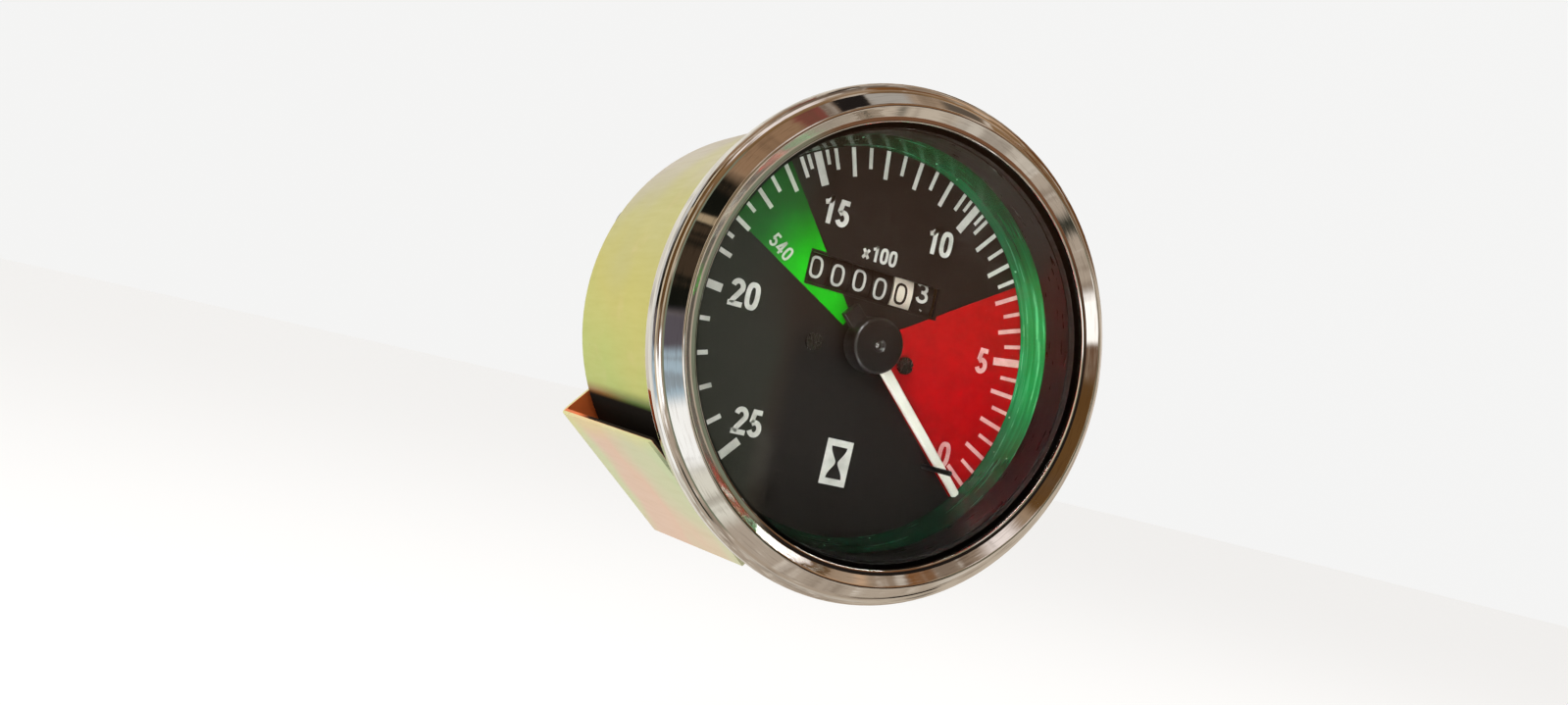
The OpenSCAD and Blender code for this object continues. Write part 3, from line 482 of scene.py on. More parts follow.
def make_materials():
    steel = (0.56, 0.55, 0.53, 1), (0.42, 0.41, 0.39, 1)
    blackened = (0.20, 0.195, 0.19, 1), (0.10, 0.10, 0.095, 1)
    bronze = (0.50, 0.34, 0.18, 1), (0.36, 0.23, 0.12, 1)
    aluminium = (0.75, 0.75, 0.75, 1), (0.62, 0.62, 0.62, 1)
    brass = (0.62, 0.47, 0.22, 1), (0.5, 0.36, 0.15, 1)
    return {
        "chrome_bezel": chrome(),
        "clear_glass": glass(),
        "seal_rubber": rubber(),
        "black_ring": black_ring(),
        "green_ring": green_acrylic(),
        "dial_black": satin_black("dial black", srgb(18, 14, 12), srgb(27, 22, 20)),
        "red_print": ink("red ink", srgb(168, 0, 6), srgb(153, 0, 5)),
        "green_print": green_ink(),
        "white_print": white_ink(),
        "black_gloss": gloss_black(),
        "pointer_white": moulded("pointer white", srgb(250, 250, 240), srgb(240, 240, 226), 0.35),
        "bright_steel": machined("bright steel", *steel, 0.18, 0.32),
        "dark_steel": machined("blackened steel", *blackened, 0.20, 0.32),
        "spring_bronze": machined("spring bronze", *bronze, 0.25, 0.4),
        "aluminium_cup": machined("aluminium", *aluminium, 0.2, 0.35),
        "magnet_grey": cast_metal("magnet grey", (0.16, 0.155, 0.15, 1), (0.1, 0.1, 0.1, 1), 0.5),
        "movement_brass": machined("movement brass", *brass, 0.22, 0.36),
        "drum_black": satin_black("drum black", srgb(20, 17, 15), srgb(34, 29, 26), 0.3, 0.45),
        "drum_cream": moulded("drum cream", srgb(246, 236, 220), srgb(236, 222, 204), 0.4),
        "white_nylon": moulded("white nylon", srgb(228, 226, 216), srgb(210, 207, 196), 0.45),
        "yellow_zinc": case_zinc(),
        "bracket_zinc": bracket_zinc(),
        "diecast_zinc": cast_metal("die-cast zinc", (0.50, 0.49, 0.47, 1), (0.38, 0.37, 0.35, 1)),
        "lamp_body": moulded("lamp body", srgb(46, 44, 42), srgb(30, 28, 27), 0.42),
        "bulb_glass": bulb_glass(),
        "brown_print": ink("brown ink", srgb(38, 24, 10), srgb(26, 16, 8)),
    }


def bulb_glass():
    s = Shader("bulb glass", transmission_weight=1.0)
    s.set("IOR", 1.45)
    dim, clear = (0.93, 0.95, 0.93, 1), (0.97, 0.98, 0.97, 1)
    s.set("Base Color", s.ramp(s.noise(300, 3), (0.3, dim), (0.7, clear)))
    s.set("Roughness", s.ramp(s.noise(200, 3), (0.4, 0.01), (0.8, 0.08)))
    return s.material


MATERIALS = {}


def dress_frame():
    """Gives every carried-over node the material of its slot."""
    for name, node in NODES.items():
        for slot in node.material_slots:
            slot.material = MATERIALS[slot.material.name.split(".")[0]]
    NODES["mounting_bracket"].material_slots[0].material = MATERIALS["bracket_zinc"]
    for name in ("dial_screws", "pointer_spindle"):
        NODES[name].material_slots[0].material = MATERIALS["dark_steel"]


# Meshes

# Points closer than this are one point
SAME_PLACE = 1e-7


def piece(name, mesh, body, slot, material=None, smooth_below=35):
    """Puts a mesh on a body; its edges are smooth below an angle in degrees."""
    obj = bpy.data.objects.new(name, mesh)
    bpy.context.scene.collection.objects.link(obj)
    mesh.materials.append(MATERIALS[material or slot])
    mesh.shade_smooth()
    mesh.set_sharp_from_angle(angle=math.radians(smooth_below))
    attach(obj, body)
    return obj


def mesh_from(name, bm):
    bmesh.ops.recalc_face_normals(bm, faces=bm.faces)
    mesh = bpy.data.meshes.new(name)
    bm.to_mesh(mesh)
    bm.free()
    return mesh


# Numerals: strokes inside a box one unit high, thickened to a band

def curve(centre, radii, start, end, steps=14, power=2.0):
    """Points of a (super)elliptic arc, in degrees anticlockwise."""
    points = []
    for i in range(steps + 1):
        a = math.radians(start + (end - start) * i / steps)
        c, s = math.cos(a), math.sin(a)
        x = math.copysign(abs(c) ** (2 / power), c)
        y = math.copysign(abs(s) ** (2 / power), s)
        points.append((centre[0] + radii[0] * x, centre[1] + radii[1] * y))
    return points


def figure(digit, width, stroke):
    """The strokes of a figure: lists of points, each open or closed; any other sign is an x."""
    h = stroke / 2
    left, right, mid = h, width - h, width / 2
    rx = mid - h
    top = 1 - h
    # The lower bowl's middle and radius, and the upper one's
    low = 0.29
    low_r = low - h
    up_r = (top - (low + low_r)) / 2
    up = top - up_r
    if digit == "0":
        return [(curve((mid, 0.5), (rx, 0.5 - h), 0, 360, 40, 2.7)[:-1], True)]
    if digit == "1":
        stem = width * 0.62
        return [([(stem - 0.26, 0.745), (stem - 0.09, 0.80), (stem, 0.93), (stem, 1.0)], False),
                ([(stem, 0.0), (stem, 1.0)], False)]
    if digit == "2":
        bowl = curve((mid, 0.70), (rx, top - 0.70), 172, -22)
        return [(bowl + [(left + 0.10, 0.25), (left + 0.02, h)], False),
                ([(left - h, h), (right + h, h)], False)]
    if digit == "3":
        bowl = curve((mid, up), (rx * 0.92, up_r), 160, -90, 14)
        return [(bowl[:-1] + [(mid - 0.06, low + low_r)], False),
                (curve((mid, low), (rx, low_r), 90, -165, 16), False)]
    if digit == "4":
        stem = width * 0.68
        return [([(stem, 1.0), (left, 0.27), (right + h, 0.27)], False),
                ([(stem, 0.0), (stem, 1.0)], False)]
    if digit == "5":
        return [([(right, top), (left + 0.09, top), (left + 0.03, 0.52)], False),
                (curve((mid - 0.01, 0.315), (rx, 0.315 - h), 138, -158, 18), False)]
    if digit == "6":
        return [(curve((mid, low + 0.01), (rx, low_r + 0.01), 0, 360, 24)[:-1], True),
                (curve((mid, 0.60), (rx, top - 0.60), 38, 180, 10, 2.3) + [(left, low)], False)]
    if digit == "7":
        return [([(left - h, top), (right, top), (mid - 0.06, 0.0)], False)]
    if digit == "8":
        return [(curve((mid, up), (rx * 0.88, up_r), 0, 360, 22)[:-1], True),
                (curve((mid, low), (rx, low_r), 0, 360, 24)[:-1], True)]
    if digit == "9":
        return [([(width - x, 1 - y) for x, y in points], closed)
                for points, closed in figure("6", width, stroke)]
    return [([(left, 0.06), (right, 0.62)], False), ([(left, 0.62), (right, 0.06)], False)]


def band(bm, points, closed, stroke, place):
    """One stroke as a flat band with thickness; place turns (x, y, height) into a point."""
    count = len(points)
    rows = []
    for i, point in enumerate(points):
        here = Vector(point)
        ways = []
        if closed or i:
            ways.append((here - Vector(points[i - 1])).normalized())
        if closed or i < count - 1:
            ways.append((Vector(points[(i + 1) % count]) - here).normalized())
        way = sum(ways, Vector((0, 0))).normalized()
        side = Vector((-way.y, way.x))
        reach = stroke / 2 / max(0.5, abs(side.dot(Vector((-ways[0].y, ways[0].x)))))
        corners = [here + side * reach, here - side * reach]
        rows.append([bm.verts.new(place(c.x, c.y, h)) for h in (0, 1) for c in corners])
    last = count if closed else count - 1
    for i in range(last):
        a, b = rows[i], rows[(i + 1) % count]
        for p, q in ((0, 1), (1, 3), (3, 2), (2, 0)):
            bm.faces.new((a[p], a[q], b[q], b[p]))
    if not closed:
        bm.faces.new((rows[0][0], rows[0][2], rows[0][3], rows[0][1]))
        bm.faces.new((rows[-1][0], rows[-1][1], rows[-1][3], rows[-1][2]))


def write_figures(bm, text, width, stroke, gap, place):
    """Figures side by side about x = 0, with place taking the text's own coordinates."""
    total = len(text) * width + (len(text) - 1) * gap
    for i, digit in enumerate(text):
        shift = i * (width + gap) - total / 2

        def shifted(x, y, h, shift=shift):
            return place(x + shift, y - 0.5, h)
        for points, closed in figure(digit, width, stroke):
            band(bm, points, closed, stroke, shifted)


# Print on the dial

INK_T = 0.1 * MM
NUMBER_H = 6.0 * MM
NUMBERS = {  # text: centre on the dial in millimetres
    "15": (-13.7, 26.5), "10": (13.9, 27.0), "5": (32.5, 3.5),
    "0": (27.8, -19.9), "20": (-30.3, 3.7), "25": (-22.8, -22.5),
}
ON_RED = ("5", "0")
# Width of a figure, of its stroke and of the gap to the next one, as shares of the height
NUMBER_FORM = (0.56, 0.185, 0.055)
FACTOR_FORM = (0.58, 0.185, 0.07)
SPEED_FORM = (0.56, 0.16, 0.10)
# Where the two labels stand in millimetres, their height, and how far the speed leans in radians
FACTOR_AT, FACTOR_H = (-0.6, 20.2), 3.6 * MM
SPEED_AT, SPEED_H, SPEED_LEAN = (-24.6, 15.6), 3.2 * MM, -0.55


def on_dial(centre, size, front, lean=0.0):
    """Places a drawing on the dial: its centre in millimetres and the length of its unit."""
    turn = Matrix.Rotation(lean, 2)

    def place(x, y, h):
        flat = turn @ Vector((x * size, y * size))
        return (centre[0] * MM + flat.x, front - h * INK_T, centre[1] * MM + flat.y)
    return place


def printed_text(name, text, form, place):
    bm = bmesh.new()
    write_figures(bm, text, *form, place)
    piece(name, mesh_from(name, bm), "instrument", "white_print")


def dial_numbers():
    for text, centre in NUMBERS.items():
        front = PRINT_Y if text in ON_RED else DIAL_Y
        printed_text(f"number_{text}", text, NUMBER_FORM, on_dial(centre, NUMBER_H, front))
    printed_text("factor_label", "x100", FACTOR_FORM, on_dial(FACTOR_AT, FACTOR_H, DIAL_Y))
    speed_place = on_dial(SPEED_AT, SPEED_H, PRINT_Y, SPEED_LEAN)
    printed_text("shaft_speed_label", "540", SPEED_FORM, speed_place)


def rectangle(width, height):
    x, y = width / 2, height / 2
    return [(-x, -y), (x, -y), (x, y), (-x, y)]


def hourglass_sign():
    """White plate with a black hour-glass on it."""
    centre, width, height = (0.5, -27.0), 6.6, 10.2
    bm = bmesh.new()
    slab(bm, rectangle(width, height), on_dial(centre, MM, DIAL_Y))
    piece("hour_sign_field", mesh_from("hour_sign_field", bm), "instrument", "white_print")

    # Half sizes of the glass and of its neck, and how slim its bulbs are
    wide, tall, neck, neck_tall, slimness = 1.95, 3.6, 0.32, 0.25, 1.25
    side = []
    steps = 10
    for i in range(steps + 1):
        t = i / steps
        bulge = math.sin(t * math.pi / 2) ** slimness
        side.append((neck + (wide - neck) * bulge, neck_tall + (tall - neck_tall) * t))
    right = [(x, -y) for x, y in reversed(side)] + side
    bm = bmesh.new()
    slab(bm, right + [(-x, y) for x, y in reversed(right)], on_dial(centre, MM, PRINT_Y))
    piece("hour_sign_figure", mesh_from("hour_sign_figure", bm), "instrument", "dial_black")


def slab(bm, outline, place):
    """A flat outline with the thickness of the print."""
    low = [bm.verts.new(place(x, y, 0)) for x, y in outline]
    high = [bm.verts.new(place(x, y, 1)) for x, y in outline]
    bm.faces.new(low)
    bm.faces.new(list(reversed(high)))
    for i in range(len(outline)):
        j = (i + 1) % len(outline)
        bm.faces.new((low[i], high[i], high[j], low[j]))


# Directions of the scale's values, in degrees from the dial's right
SCALE = ((0, -47.5), (5, 6.7), (10, 59.8), (15, 119.6), (20, 174.2), (25, 228.2))
# Length and width of the printed marks in millimetres
LONG_MARK, SHORT_MARK, THICK_MARK, FINE_MARK = (6.4, 1.0), (4.6, 0.86), (7.4, 1.8), (3.2, 0.78)
FINE_MARKS_AT = (56.75, 62.85, 116.5, 122.7)
# How far the marks stand out before the coloured fields
MARK_RISE = 0.03 * MM


def scale_angle(value):
    """The direction of a value of the scale, between those that are listed."""
    for (low, start), (high, end) in zip(SCALE, SCALE[1:]):
        if value <= high:
            return start + (end - start) * (value - low) / (high - low)


def radial_mark(bm, angle, end, size):
    """A straight mark that reaches in from a radius of the dial."""
    length, width = size
    a = math.radians(angle)
    along = Vector((math.cos(a), math.sin(a)))
    across = Vector((-along.y, along.x)) * width / 2
    inner, outer = along * (end - length), along * end
    outline = [inner - across, outer - across, outer + across, inner + across]
    slab(bm, [(p.x, p.y) for p in outline], on_dial((0, 0), MM, PRINT_Y + INK_T - MARK_RISE))


def printed_marks():
    """The scale's marks at their printed width, with the short fine ones beside 10 and 15."""
    end = max(math.hypot(v.co.x, v.co.z) for v in NODES["scale_marks"].data.vertices) / MM
    marks = [(scale_angle(v), LONG_MARK) for v in range(1, 25) if v % 5]
    marks += [(scale_angle(v + 0.5), SHORT_MARK) for v in range(1, 19)]
    marks += [(scale_angle(v), THICK_MARK) for v in range(5, 26, 5)]
    marks += [(angle, FINE_MARK) for angle in FINE_MARKS_AT]
    bm = bmesh.new()
    for angle, size in marks:
        radial_mark(bm, angle, end, size)
    made = piece("printed_marks", mesh_from("printed_marks", bm), "instrument", "white_print")
    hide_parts("scale_marks")


# Hour counter

# The window's height, and how much wider than the drums it is
WINDOW_H, WINDOW_PLAY = 6.6 * MM, 0.1 * MM
# The black line round it runs from this far outside its edge to that
BORDER_FROM, BORDER_TO = 0.03 * MM, 0.6 * MM
# Height of a drum's figures, and how far they stand beside the drum's middle
DIGIT_H, DIGIT_SHIFT = 5.0 * MM, -0.5 * MM
# Width and stroke of a figure as shares of its height
DIGIT_W = 0.66
DIGIT_STROKE, LAST_DIGIT_STROKE = 0.125, 0.15
# A figure on a drum reaches this far above and below the rim
DIGIT_RISE = 0.03 * MM
# The figure that each drum shows, and how many degrees past it the drum stands; the last is
# on its way from 3 to 4
DRUM_SHOWS = (0, 0, 0, 0, 0, 3)
DRUM_SLIP = (2.4, 0.0, 1.6, -1.2, 0.0, 9.6)
# Degrees from one figure of a drum to the next
FIGURE_STEP = 36


def drum_figures(index):
    """The ten figures round one drum, bent to its rim."""
    centre_x = (index - (DRUMS - 1) / 2) * DRUM_PITCH
    bm = bmesh.new()
    stroke = LAST_DIGIT_STROKE if index == DRUMS - 1 else DIGIT_STROKE
    for number in range(10):
        turn = math.radians(DRUM_SLIP[index] - (number - DRUM_SHOWS[index]) * FIGURE_STEP)

        def place(x, y, h, turn=turn):
            angle = turn + y * DIGIT_H / DRUM_R
            r = DRUM_R + (2 * h - 1) * DIGIT_RISE
            across = centre_x + DIGIT_SHIFT + x * DIGIT_H
            return (across, DRUM_Y - r * math.cos(angle), DRUM_Z + r * math.sin(angle))
        write_figures(bm, str(number), DIGIT_W, stroke, 0, place)
    on_cream = index == DRUMS - 2
    piece(f"drum_figures_{index + 1}", mesh_from("drum_figures", bm), f"drum_{index + 1}",
          "black_gloss" if on_cream else "white_print", "brown_print" if on_cream else None)


def window_border():
    """Black line round the counter's window, which keeps the green print off its edge."""
    front = PRINT_Y - MARK_RISE
    rows = []
    section = (BORDER_FROM, front), (BORDER_TO, front), (BORDER_TO, DIAL_Y), (BORDER_FROM, DIAL_Y)
    for margin, y in section:
        width = DRUMS * DRUM_PITCH + WINDOW_PLAY + 2 * margin
        height = WINDOW_H + 2 * margin
        rows.append([(x, y, DRUM_Z + z) for x, z in rectangle(width, height)])
    bm = bmesh.new()
    ring_strip(bm, rows + rows[:1])
    bmesh.ops.remove_doubles(bm, verts=bm.verts, dist=SAME_PLACE)
    piece("window_border", mesh_from("window_border", bm), "instrument", "dial_black")


# Fasteners and the drive neck behind the case

MOUNTS = {mount["name"]: mount for mount in frame["record"]["mounts"]}
NECK_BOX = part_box("drive_neck")
NECK_R = MOUNTS["drive_neck"]["dims"]["r_mm"] * MM
CABLE_BORE = MOUNTS["cable_bore"]
CABLE_R = CABLE_BORE["dims"]["r_mm"] * MM
# Thickness of the neck's collar, and the bevel on its edges
COLLAR_T, NECK_EDGE = 1.5 * MM, 0.3 * MM
NECK_PITCH, NECK_DEPTH, NECK_LEAD_IN = 1.5 * MM, 0.75 * MM, 1.0 * MM
# The groove between the collar and the thread: its length, the flat part of that, its depth
RELIEF_L, RELIEF_FLAT, RELIEF_DEPTH = 1.2 * MM, 0.7, 0.4 * MM

STUD_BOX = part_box("bracket_studs")
STUD_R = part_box("bracket_washers")[1].x - STUD_BOX[1].x
STUD_AT = (STUD_BOX[1].x - STUD_R, STUD_BOX[1].z - STUD_R)
STUD_PITCH, STUD_DEPTH, STUD_LEAD_IN = 0.8 * MM, 0.42 * MM, 0.5 * MM
# Rings of points for each turn of a thread
ROWS_PER_TURN = 6

NUT_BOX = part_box("bracket_nuts")
NUT_HOLE_R = 0.98 * STUD_R
NUT_CORNER_R = 1.85 * STUD_R
NUT_FLAT_R = NUT_CORNER_R * math.cos(math.radians(30))
# Radii of a nut's chamfer and of its faces, as shares of the distance to its flats
NUT_CHAMFER, NUT_FACE = 0.985, 0.95
CHAMFER_SLOPE = math.tan(math.radians(30))


def ring_strip(bm, rows):
    """Joins neighbouring rings of points, given as lists of equal length."""
    verts = [[bm.verts.new(point) for point in row] for row in rows]
    count = len(rows[0])
    for low, high in zip(verts, verts[1:]):
        for i in range(count):
            j = (i + 1) % count
            bm.faces.new((low[i], low[j], high[j], high[i]))
    return verts


def screw_rows(radius, start, end, pitch, depth, lead_in, steps, centre=(0.0, 0.0)):
    """Rings of a threaded rod; the thread fades in over its first turn and ends in a lead-in."""
    rows = []
    count = int((end - start) / pitch * ROWS_PER_TURN)
    for k in range(count + 1):
        y = start + (end - start) * k / count
        row = []
        for i in range(steps):
            a = math.tau * i / steps
            phase = ((y - start) / pitch + i / steps) % 1.0
            wave = 0.5 - 0.5 * math.cos(math.tau * phase)
            fade = min(1.0, (y - start) / pitch)
            r = min(radius - depth * wave * fade, radius - lead_in + (end - y))
            row.append((centre[0] + r * math.cos(a), y, centre[1] + r * math.sin(a)))
        rows.append(row)
    return rows


def circle_row(radius, y, steps):
    turns = [math.tau * i / steps for i in range(steps)]
    return [(radius * math.cos(a), y, radius * math.sin(a)) for a in turns]


def threaded_neck():
    """Collar, threaded neck and the bore that takes the cable's end."""
    steps = 72
    start, end = NECK_BOX[0].y, NECK_BOX[1].y
    collar_r = NECK_BOX[1].x
    collar_end = CASE_BACK + COLLAR_T
    groove_r, groove_end = NECK_R - RELIEF_DEPTH, collar_end + RELIEF_L * RELIEF_FLAT
    thread_start = collar_end + RELIEF_L
    seat = CABLE_BORE["pos_m"][1] - CABLE_BORE["dims"]["length_mm"] * MM / 2
    edge = NECK_EDGE
    collar = (
        (SHAFT_BORE_R, start), (NECK_R, start), (NECK_R, CASE_BACK),
        (collar_r - edge, CASE_BACK), (collar_r, CASE_BACK + edge),
        (collar_r, collar_end - edge), (collar_r - edge, collar_end),
        (groove_r, collar_end), (groove_r, groove_end),
    )
    bore = (
        (CABLE_R + edge, end), (CABLE_R, end - edge), (CABLE_R, seat),
        (SHAFT_BORE_R, seat), (SHAFT_BORE_R, start),
    )
    rows = [circle_row(r, y, steps) for r, y in collar]
    rows += screw_rows(NECK_R, thread_start, end, NECK_PITCH, NECK_DEPTH, NECK_LEAD_IN, steps)
    rows += [circle_row(r, y, steps) for r, y in bore]
    bm = bmesh.new()
    ring_strip(bm, rows)
    bmesh.ops.remove_doubles(bm, verts=bm.verts, dist=SAME_PLACE)
    mesh = mesh_from("threaded_neck", bm)
    neck = piece("threaded_neck", mesh, "instrument", "diecast_zinc", smooth_below=40)
    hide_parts("drive_neck")


def threaded_studs():
    steps = 36
    start, end = STUD_BOX[0].y, STUD_BOX[1].y
    bm = bmesh.new()
    for side in (-1, 1):
        centre = (side * STUD_AT[0], side * STUD_AT[1])
        rows = screw_rows(STUD_R, start, end, STUD_PITCH, STUD_DEPTH, STUD_LEAD_IN, steps, centre)
        verts = ring_strip(bm, rows)
        bm.faces.new(verts[0])
        bm.faces.new(list(reversed(verts[-1])))
    mesh = mesh_from("threaded_studs", bm)
    studs = piece("threaded_studs", mesh, "instrument", "bright_steel", smooth_below=50)
    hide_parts("bracket_studs")


def chamfered_nuts():
    """Hexagon nuts whose corners are turned off at both faces."""
    steps = 72
    front, back = NUT_BOX[0].y, NUT_BOX[1].y
    face_r = NUT_FLAT_R * NUT_FACE
    bm = bmesh.new()
    for side in (-1, 1):
        centre = (side * STUD_AT[0], side * STUD_AT[1])
        columns = []
        for i in range(steps):
            a = math.tau * i / steps
            way = Vector((math.cos(a + BRACKET_TURN), math.sin(a + BRACKET_TURN)))
            r = NUT_FLAT_R / math.cos(a % math.radians(60) - math.radians(30))
            dip = max(0.0, r - NUT_FLAT_R * NUT_CHAMFER) * CHAMFER_SLOPE
            section = ((NUT_HOLE_R, front), (face_r, front), (r, front + dip),
                       (r, back - dip), (face_r, back), (NUT_HOLE_R, back))
            columns.append([(centre[0] + way.x * reach, y, centre[1] + way.y * reach)
                            for reach, y in section])
        rows = list(zip(*columns))
        ring_strip(bm, rows + rows[:1])
    bmesh.ops.remove_doubles(bm, verts=bm.verts, dist=SAME_PLACE)
    mesh = mesh_from("chamfered_nuts", bm)
    nuts = piece("chamfered_nuts", mesh, "instrument", "bright_steel", smooth_below=28)
    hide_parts("bracket_nuts")


WELD_WITHIN = 0.001 * MM
# Edges that turn by more than this many degrees are softened
SOFT_FROM = 40
SOFT_EDGES = {  # node: width of the softened edge in millimetres
    "mounting_bracket": 0.25, "bracket_washers": 0.12, "dial_screws": 0.12, "pointer_hub": 0.10,
    "pointer_blade": 0.08, "stop_pin": 0.1, "lens": 0.15, "counter_frame": 0.1,
}


def soften_edges():
    """Small rounded edges on the carried-over pieces, so that they catch the light."""
    for name, width in SOFT_EDGES.items():
        node = NODES[name]
        weld = node.modifiers.new("weld", "WELD")
        weld.merge_threshold = WELD_WITHIN
        bevel = node.modifiers.new("edges", "BEVEL")
        bevel.width = width * MM
        bevel.segments = 2
        bevel.limit_method = "ANGLE"
        bevel.angle_limit = math.radians(SOFT_FROM)
        bevel.harden_normals = True


# Room and light

def look_matrix(place, forward, roll):
    forward = Vector(forward).normalized()
    right = forward.cross(Vector((0, 0, 1))).normalized()
    up = right.cross(forward)
    axes = Matrix((right, up, -forward)).transposed()
    return Matrix.Translation(place) @ (axes @ Matrix.Rotation(roll, 3, "Z")).to_4x4()


def add_camera():
    data = bpy.data.cameras.new("camera")
    data.lens = CAMERA_LENS
    data.clip_start = 0.01
    camera = bpy.data.objects.new("camera", data)
    bpy.context.scene.collection.objects.link(camera)
    camera.matrix_world = look_matrix(Vector(CAMERA_PLACE), CAMERA_FORWARD, CAMERA_ROLL)
    bpy.context.scene.camera = camera


def unit_towards(azimuth, height):
    """Unit vector; azimuth 0 is in front of the dial and 90 to its right, both in degrees."""
    a, e = math.radians(azimuth), math.radians(height)
    return Vector((math.sin(a) * math.cos(e), -math.cos(a) * math.cos(e), math.sin(e)))


# Tints of the room by height, as heights from -1 to 1 and display colours
ROOM_TINTS = (
    (-1.0, (182, 168, 152)), (-0.5, (180, 164, 146)), (-0.2, (174, 158, 138)),
    (0.02, (118, 98, 72)), (0.30, (112, 84, 54)), (0.60, (140, 108, 74)),
    (0.85, (172, 150, 128)), (1.0, (110, 94, 82)),
)
# Soft rectangles of the room: azimuth, height, half sizes and softness in degrees, display
# colour, strength
ROOM_PATCHES = (
    (-155, 0, 34, 45, 16, (222, 218, 208), 1.2),
    (135, -8, 40, 14, 8, (206, 196, 182), 1.0),
    (138, 14, 14, 9, 5, (82, 74, 58), 1.0),
    (146, 5.3, 4, 0.7, 0.7, (255, 255, 250), 1.5),
    (145, 2.5, 4, 0.5, 0.6, (255, 248, 238), 1.3),
    (134, 45, 5, 4, 4, (96, 84, 72), 1.0),
    (147, 67, 10, 4, 4, (176, 170, 162), 1.0),
    (176, 76, 16, 4, 3, (36, 31, 29), 1.0),
    (-130, 75, 14, 4, 4, (130, 74, 64), 1.0),
    (84, -18, 34, 34, 8, (200, 186, 168), 1.0),
    (106, -2, 9, 4, 3, (226, 208, 194), 1.0),
    (103, 10, 5, 3, 2, (255, 246, 240), 1.1),
    (92, 34, 14, 10, 6, (100, 58, 30), 1.0),
    (-72, -4, 8, 44, 6, (214, 196, 168), 1.0),
    (-112, -6, 10, 40, 8, (220, 218, 214), 1.0),
    (-103, 60, 10, 10, 8, (150, 118, 90), 1.0),
    (-90, 20, 8, 22, 6, (20, 21, 16), 1.0),
    (-90, -25, 9, 8, 7, (172, 192, 204), 1.0),
    (-87, -10, 9, 4, 5, (92, 86, 92), 1.0),
    (-96, -63, 22, 10, 8, (228, 224, 210), 1.0),
    (-90, -45, 17, 8, 7, (255, 255, 252), 1.1),
    (-91, 29, 7, 0.8, 1.2, (170, 150, 120), 1.0),
    (-42, -23, 13, 7, 4, (255, 250, 244), 1.3),
    (-26, -13, 6, 6, 3, (255, 255, 255), 1.7),
    (-31, 10, 6, 12, 5, (200, 184, 158), 1.0),
    (-24, -48, 9, 6, 4, (52, 53, 44), 1.0),
    (-45, -8, 6, 5, 3, (112, 82, 62), 1.0),
    (36, -58, 30, 7, 6, (204, 194, 180), 1.0),
    (80, -38, 4, 3, 3, (118, 110, 98), 1.0),
    (-20, 52, 17, 9, 6, (240, 228, 222), 1.1),
    (-52, 22, 9, 22, 5, (100, 70, 38), 1.0),
    (38, 60, 12, 10, 6, (128, 84, 46), 1.0),
    (70, 52, 8, 6, 5, (210, 172, 138), 1.0),
)
# What the glass reflects: a pale wall on the left, a dark one on the right and brown above it
GLASS_PATCHES = (
    (9.5, 0, 15.7, 22, 1.2, (122, 128, 108), 1.0),
    (37, 0, 10, 24, 1.5, (34, 28, 24), 1.0),
    (32, 12, 5, 6, 4, (122, 84, 60), 1.0),
)


def room_noise(t, way, scale, detail):
    inputs = {"Vector": way, "Scale": scale, "Detail": detail}
    return t.node("ShaderNodeTexNoise", inputs).outputs["Fac"]


def room_patches(t, colour, azimuth, height, patches):
    """Lays soft rectangles of light and dark over the room's colour."""
    for turn, rise, half_turn, half_rise, soft, tint, strength in patches:
        beside = t.math("WRAP", t.math("SUBTRACT", azimuth, turn), 180.0, -180.0)
        cover = t.both(t.near(beside, 0.0, half_turn, soft), t.near(height, rise, half_rise, soft))
        colour = t.mix(cover, colour, (*(c * strength for c in srgb(*tint)[:3]), 1))
    return colour


def room_light():
    """A soft brown room that the metal and glass reflect, with its lit and dark patches."""
    world = bpy.data.worlds.new("room")
    world.use_nodes = True
    bpy.context.scene.world = world
    t = Tree(world.node_tree)
    way = t.nodes.new("ShaderNodeTexCoord").outputs["Generated"]
    x, y, z = t.node("ShaderNodeSeparateXYZ", {0: way}).outputs
    azimuth = t.math("DEGREES", t.math("ARCTAN2", x, t.math("MULTIPLY", y, -1.0)))
    height = t.math("DEGREES", t.math("ARCSINE", z))
    level = t.math("MULTIPLY_ADD", z, 0.5, 0.5)
    colour = t.ramp(level, *[((place + 1) / 2, srgb(*tint)) for place, tint in ROOM_TINTS])
    glint = room_noise(t, way, 9.0, 3.0)
    colour = t.mix(t.both(t.smooth(glint, 0.55, 0.66), 0.5), colour, srgb(244, 234, 220))
    colour = room_patches(t, colour, azimuth, height, ROOM_PATCHES)
    cloud = room_noise(t, way, 6.0, 4.0)
    colour = t.mix(t.both(t.smooth(cloud, 0.52, 0.66), 0.42), colour, srgb(96, 76, 58))
    colour = room_patches(t, colour, azimuth, height, GLASS_PATCHES)
    t.feed(t.nodes["Background"].inputs["Color"], colour)
    t.feed(t.nodes["Background"].inputs["Strength"], ROOM_STRENGTH)


# Lamps: direction and height in degrees, distance and size in metres, power in watts, tint
LAMPS = {
    "key": (-38, 42, 0.9, 0.5, 21.0, (1, 1, 1)),
    "low": (-16, -42, 0.9, 0.4, 17.0, (1, 1, 1)),
    "side": (-78, 30, 1.0, 0.5, 9.0, (1, 1, 1)),
    "fill": (75, 48, 1.0, 0.6, 9.0, (1.0, 0.97, 0.93)),
}


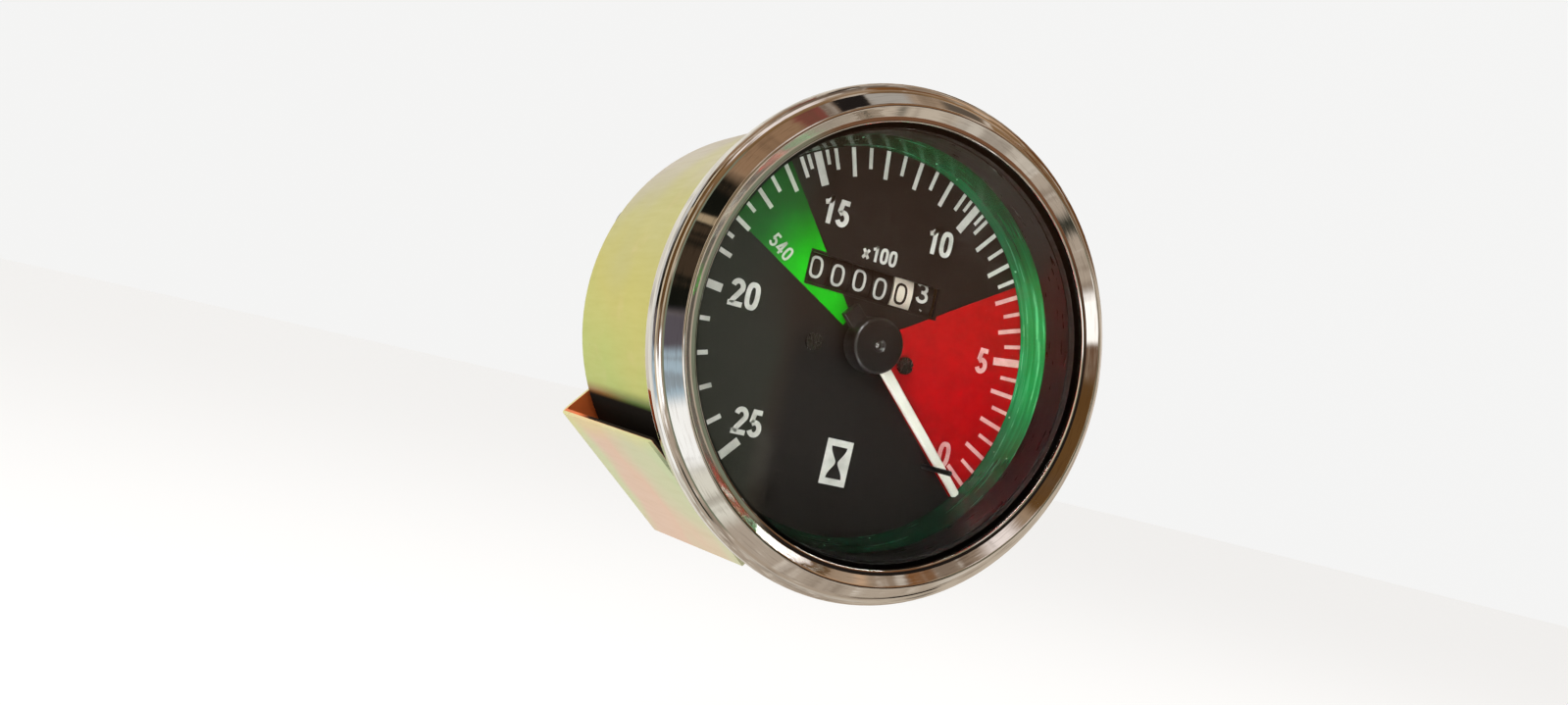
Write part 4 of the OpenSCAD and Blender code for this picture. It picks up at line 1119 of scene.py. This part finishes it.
def area_light(name, azimuth, height, distance, size, power, tint):
    """A soft lamp that lights paint and print; the metal and glass reflect only the room."""
    data = bpy.data.lights.new(name, "AREA")
    data.shape = "DISK"
    data.size = size
    data.energy = power
    data.color = tint
    light = bpy.data.objects.new(name, data)
    bpy.context.scene.collection.objects.link(light)
    place = unit_towards(azimuth, height) * distance
    light.matrix_world = look_matrix(place, -place, 0.0)
    light.visible_glossy = False


def backdrop_material(name, tint, glow):
    s = Shader(name, roughness=0.9)
    paler = (*(c * 1.01 for c in tint[:3]), 1)
    s.set("Base Color", s.ramp(s.noise(3, 2), (0.3, tint), (0.7, paler)))
    s.set("Emission Color", (1.0, 1.0, 0.995, 1))
    s.set("Emission Strength", glow)
    return s.material


# The floor's half width, its depth below the instrument's middle, and the shell's radius
FLOOR_SIZE, FLOOR_DROP, SHELL_R = 6.0, 0.16, 5.4


def add_floor():
    """Pale floor below the instrument and a pale shell round it, seen but not reflected."""
    below = Matrix.Translation((0, 0, -FLOOR_DROP))
    bm = bmesh.new()
    bmesh.ops.create_grid(bm, x_segments=8, y_segments=8, size=FLOOR_SIZE, matrix=below)
    pale = backdrop_material("pale floor", (0.12, 0.12, 0.119, 1), FLOOR_GLOW)
    floor = stage_piece("floor", bm, pale)
    bm = bmesh.new()
    bmesh.ops.create_icosphere(bm, subdivisions=5, radius=SHELL_R)
    shining = backdrop_material("pale shell", (0.0, 0.0, 0.0, 1), SHELL_GLOW)
    shell = stage_piece("shell", bm, shining)
    shell.visible_diffuse = False
    for backdrop in (floor, shell):
        backdrop.visible_glossy = False
        backdrop.visible_transmission = False
        backdrop.visible_shadow = False


def stage_piece(name, bm, material):
    mesh = mesh_from(name, bm)
    mesh.materials.append(material)
    mesh.shade_smooth()
    obj = bpy.data.objects.new(name, mesh)
    bpy.context.scene.collection.objects.link(obj)
    return obj


def build_object():
    MATERIALS.update(make_materials())
    dress_frame()
    dial_numbers()
    hourglass_sign()
    printed_marks()
    for index in range(DRUMS):
        drum_figures(index)
    window_border()
    threaded_neck()
    threaded_studs()
    chamfered_nuts()
    soften_edges()


def build_room():
    add_camera()
    room_light()
    add_floor()
    for name, lamp in LAMPS.items():
        area_light(name, *lamp)
    bpy.context.scene.view_settings.view_transform = "Standard"


build_object()
build_room()
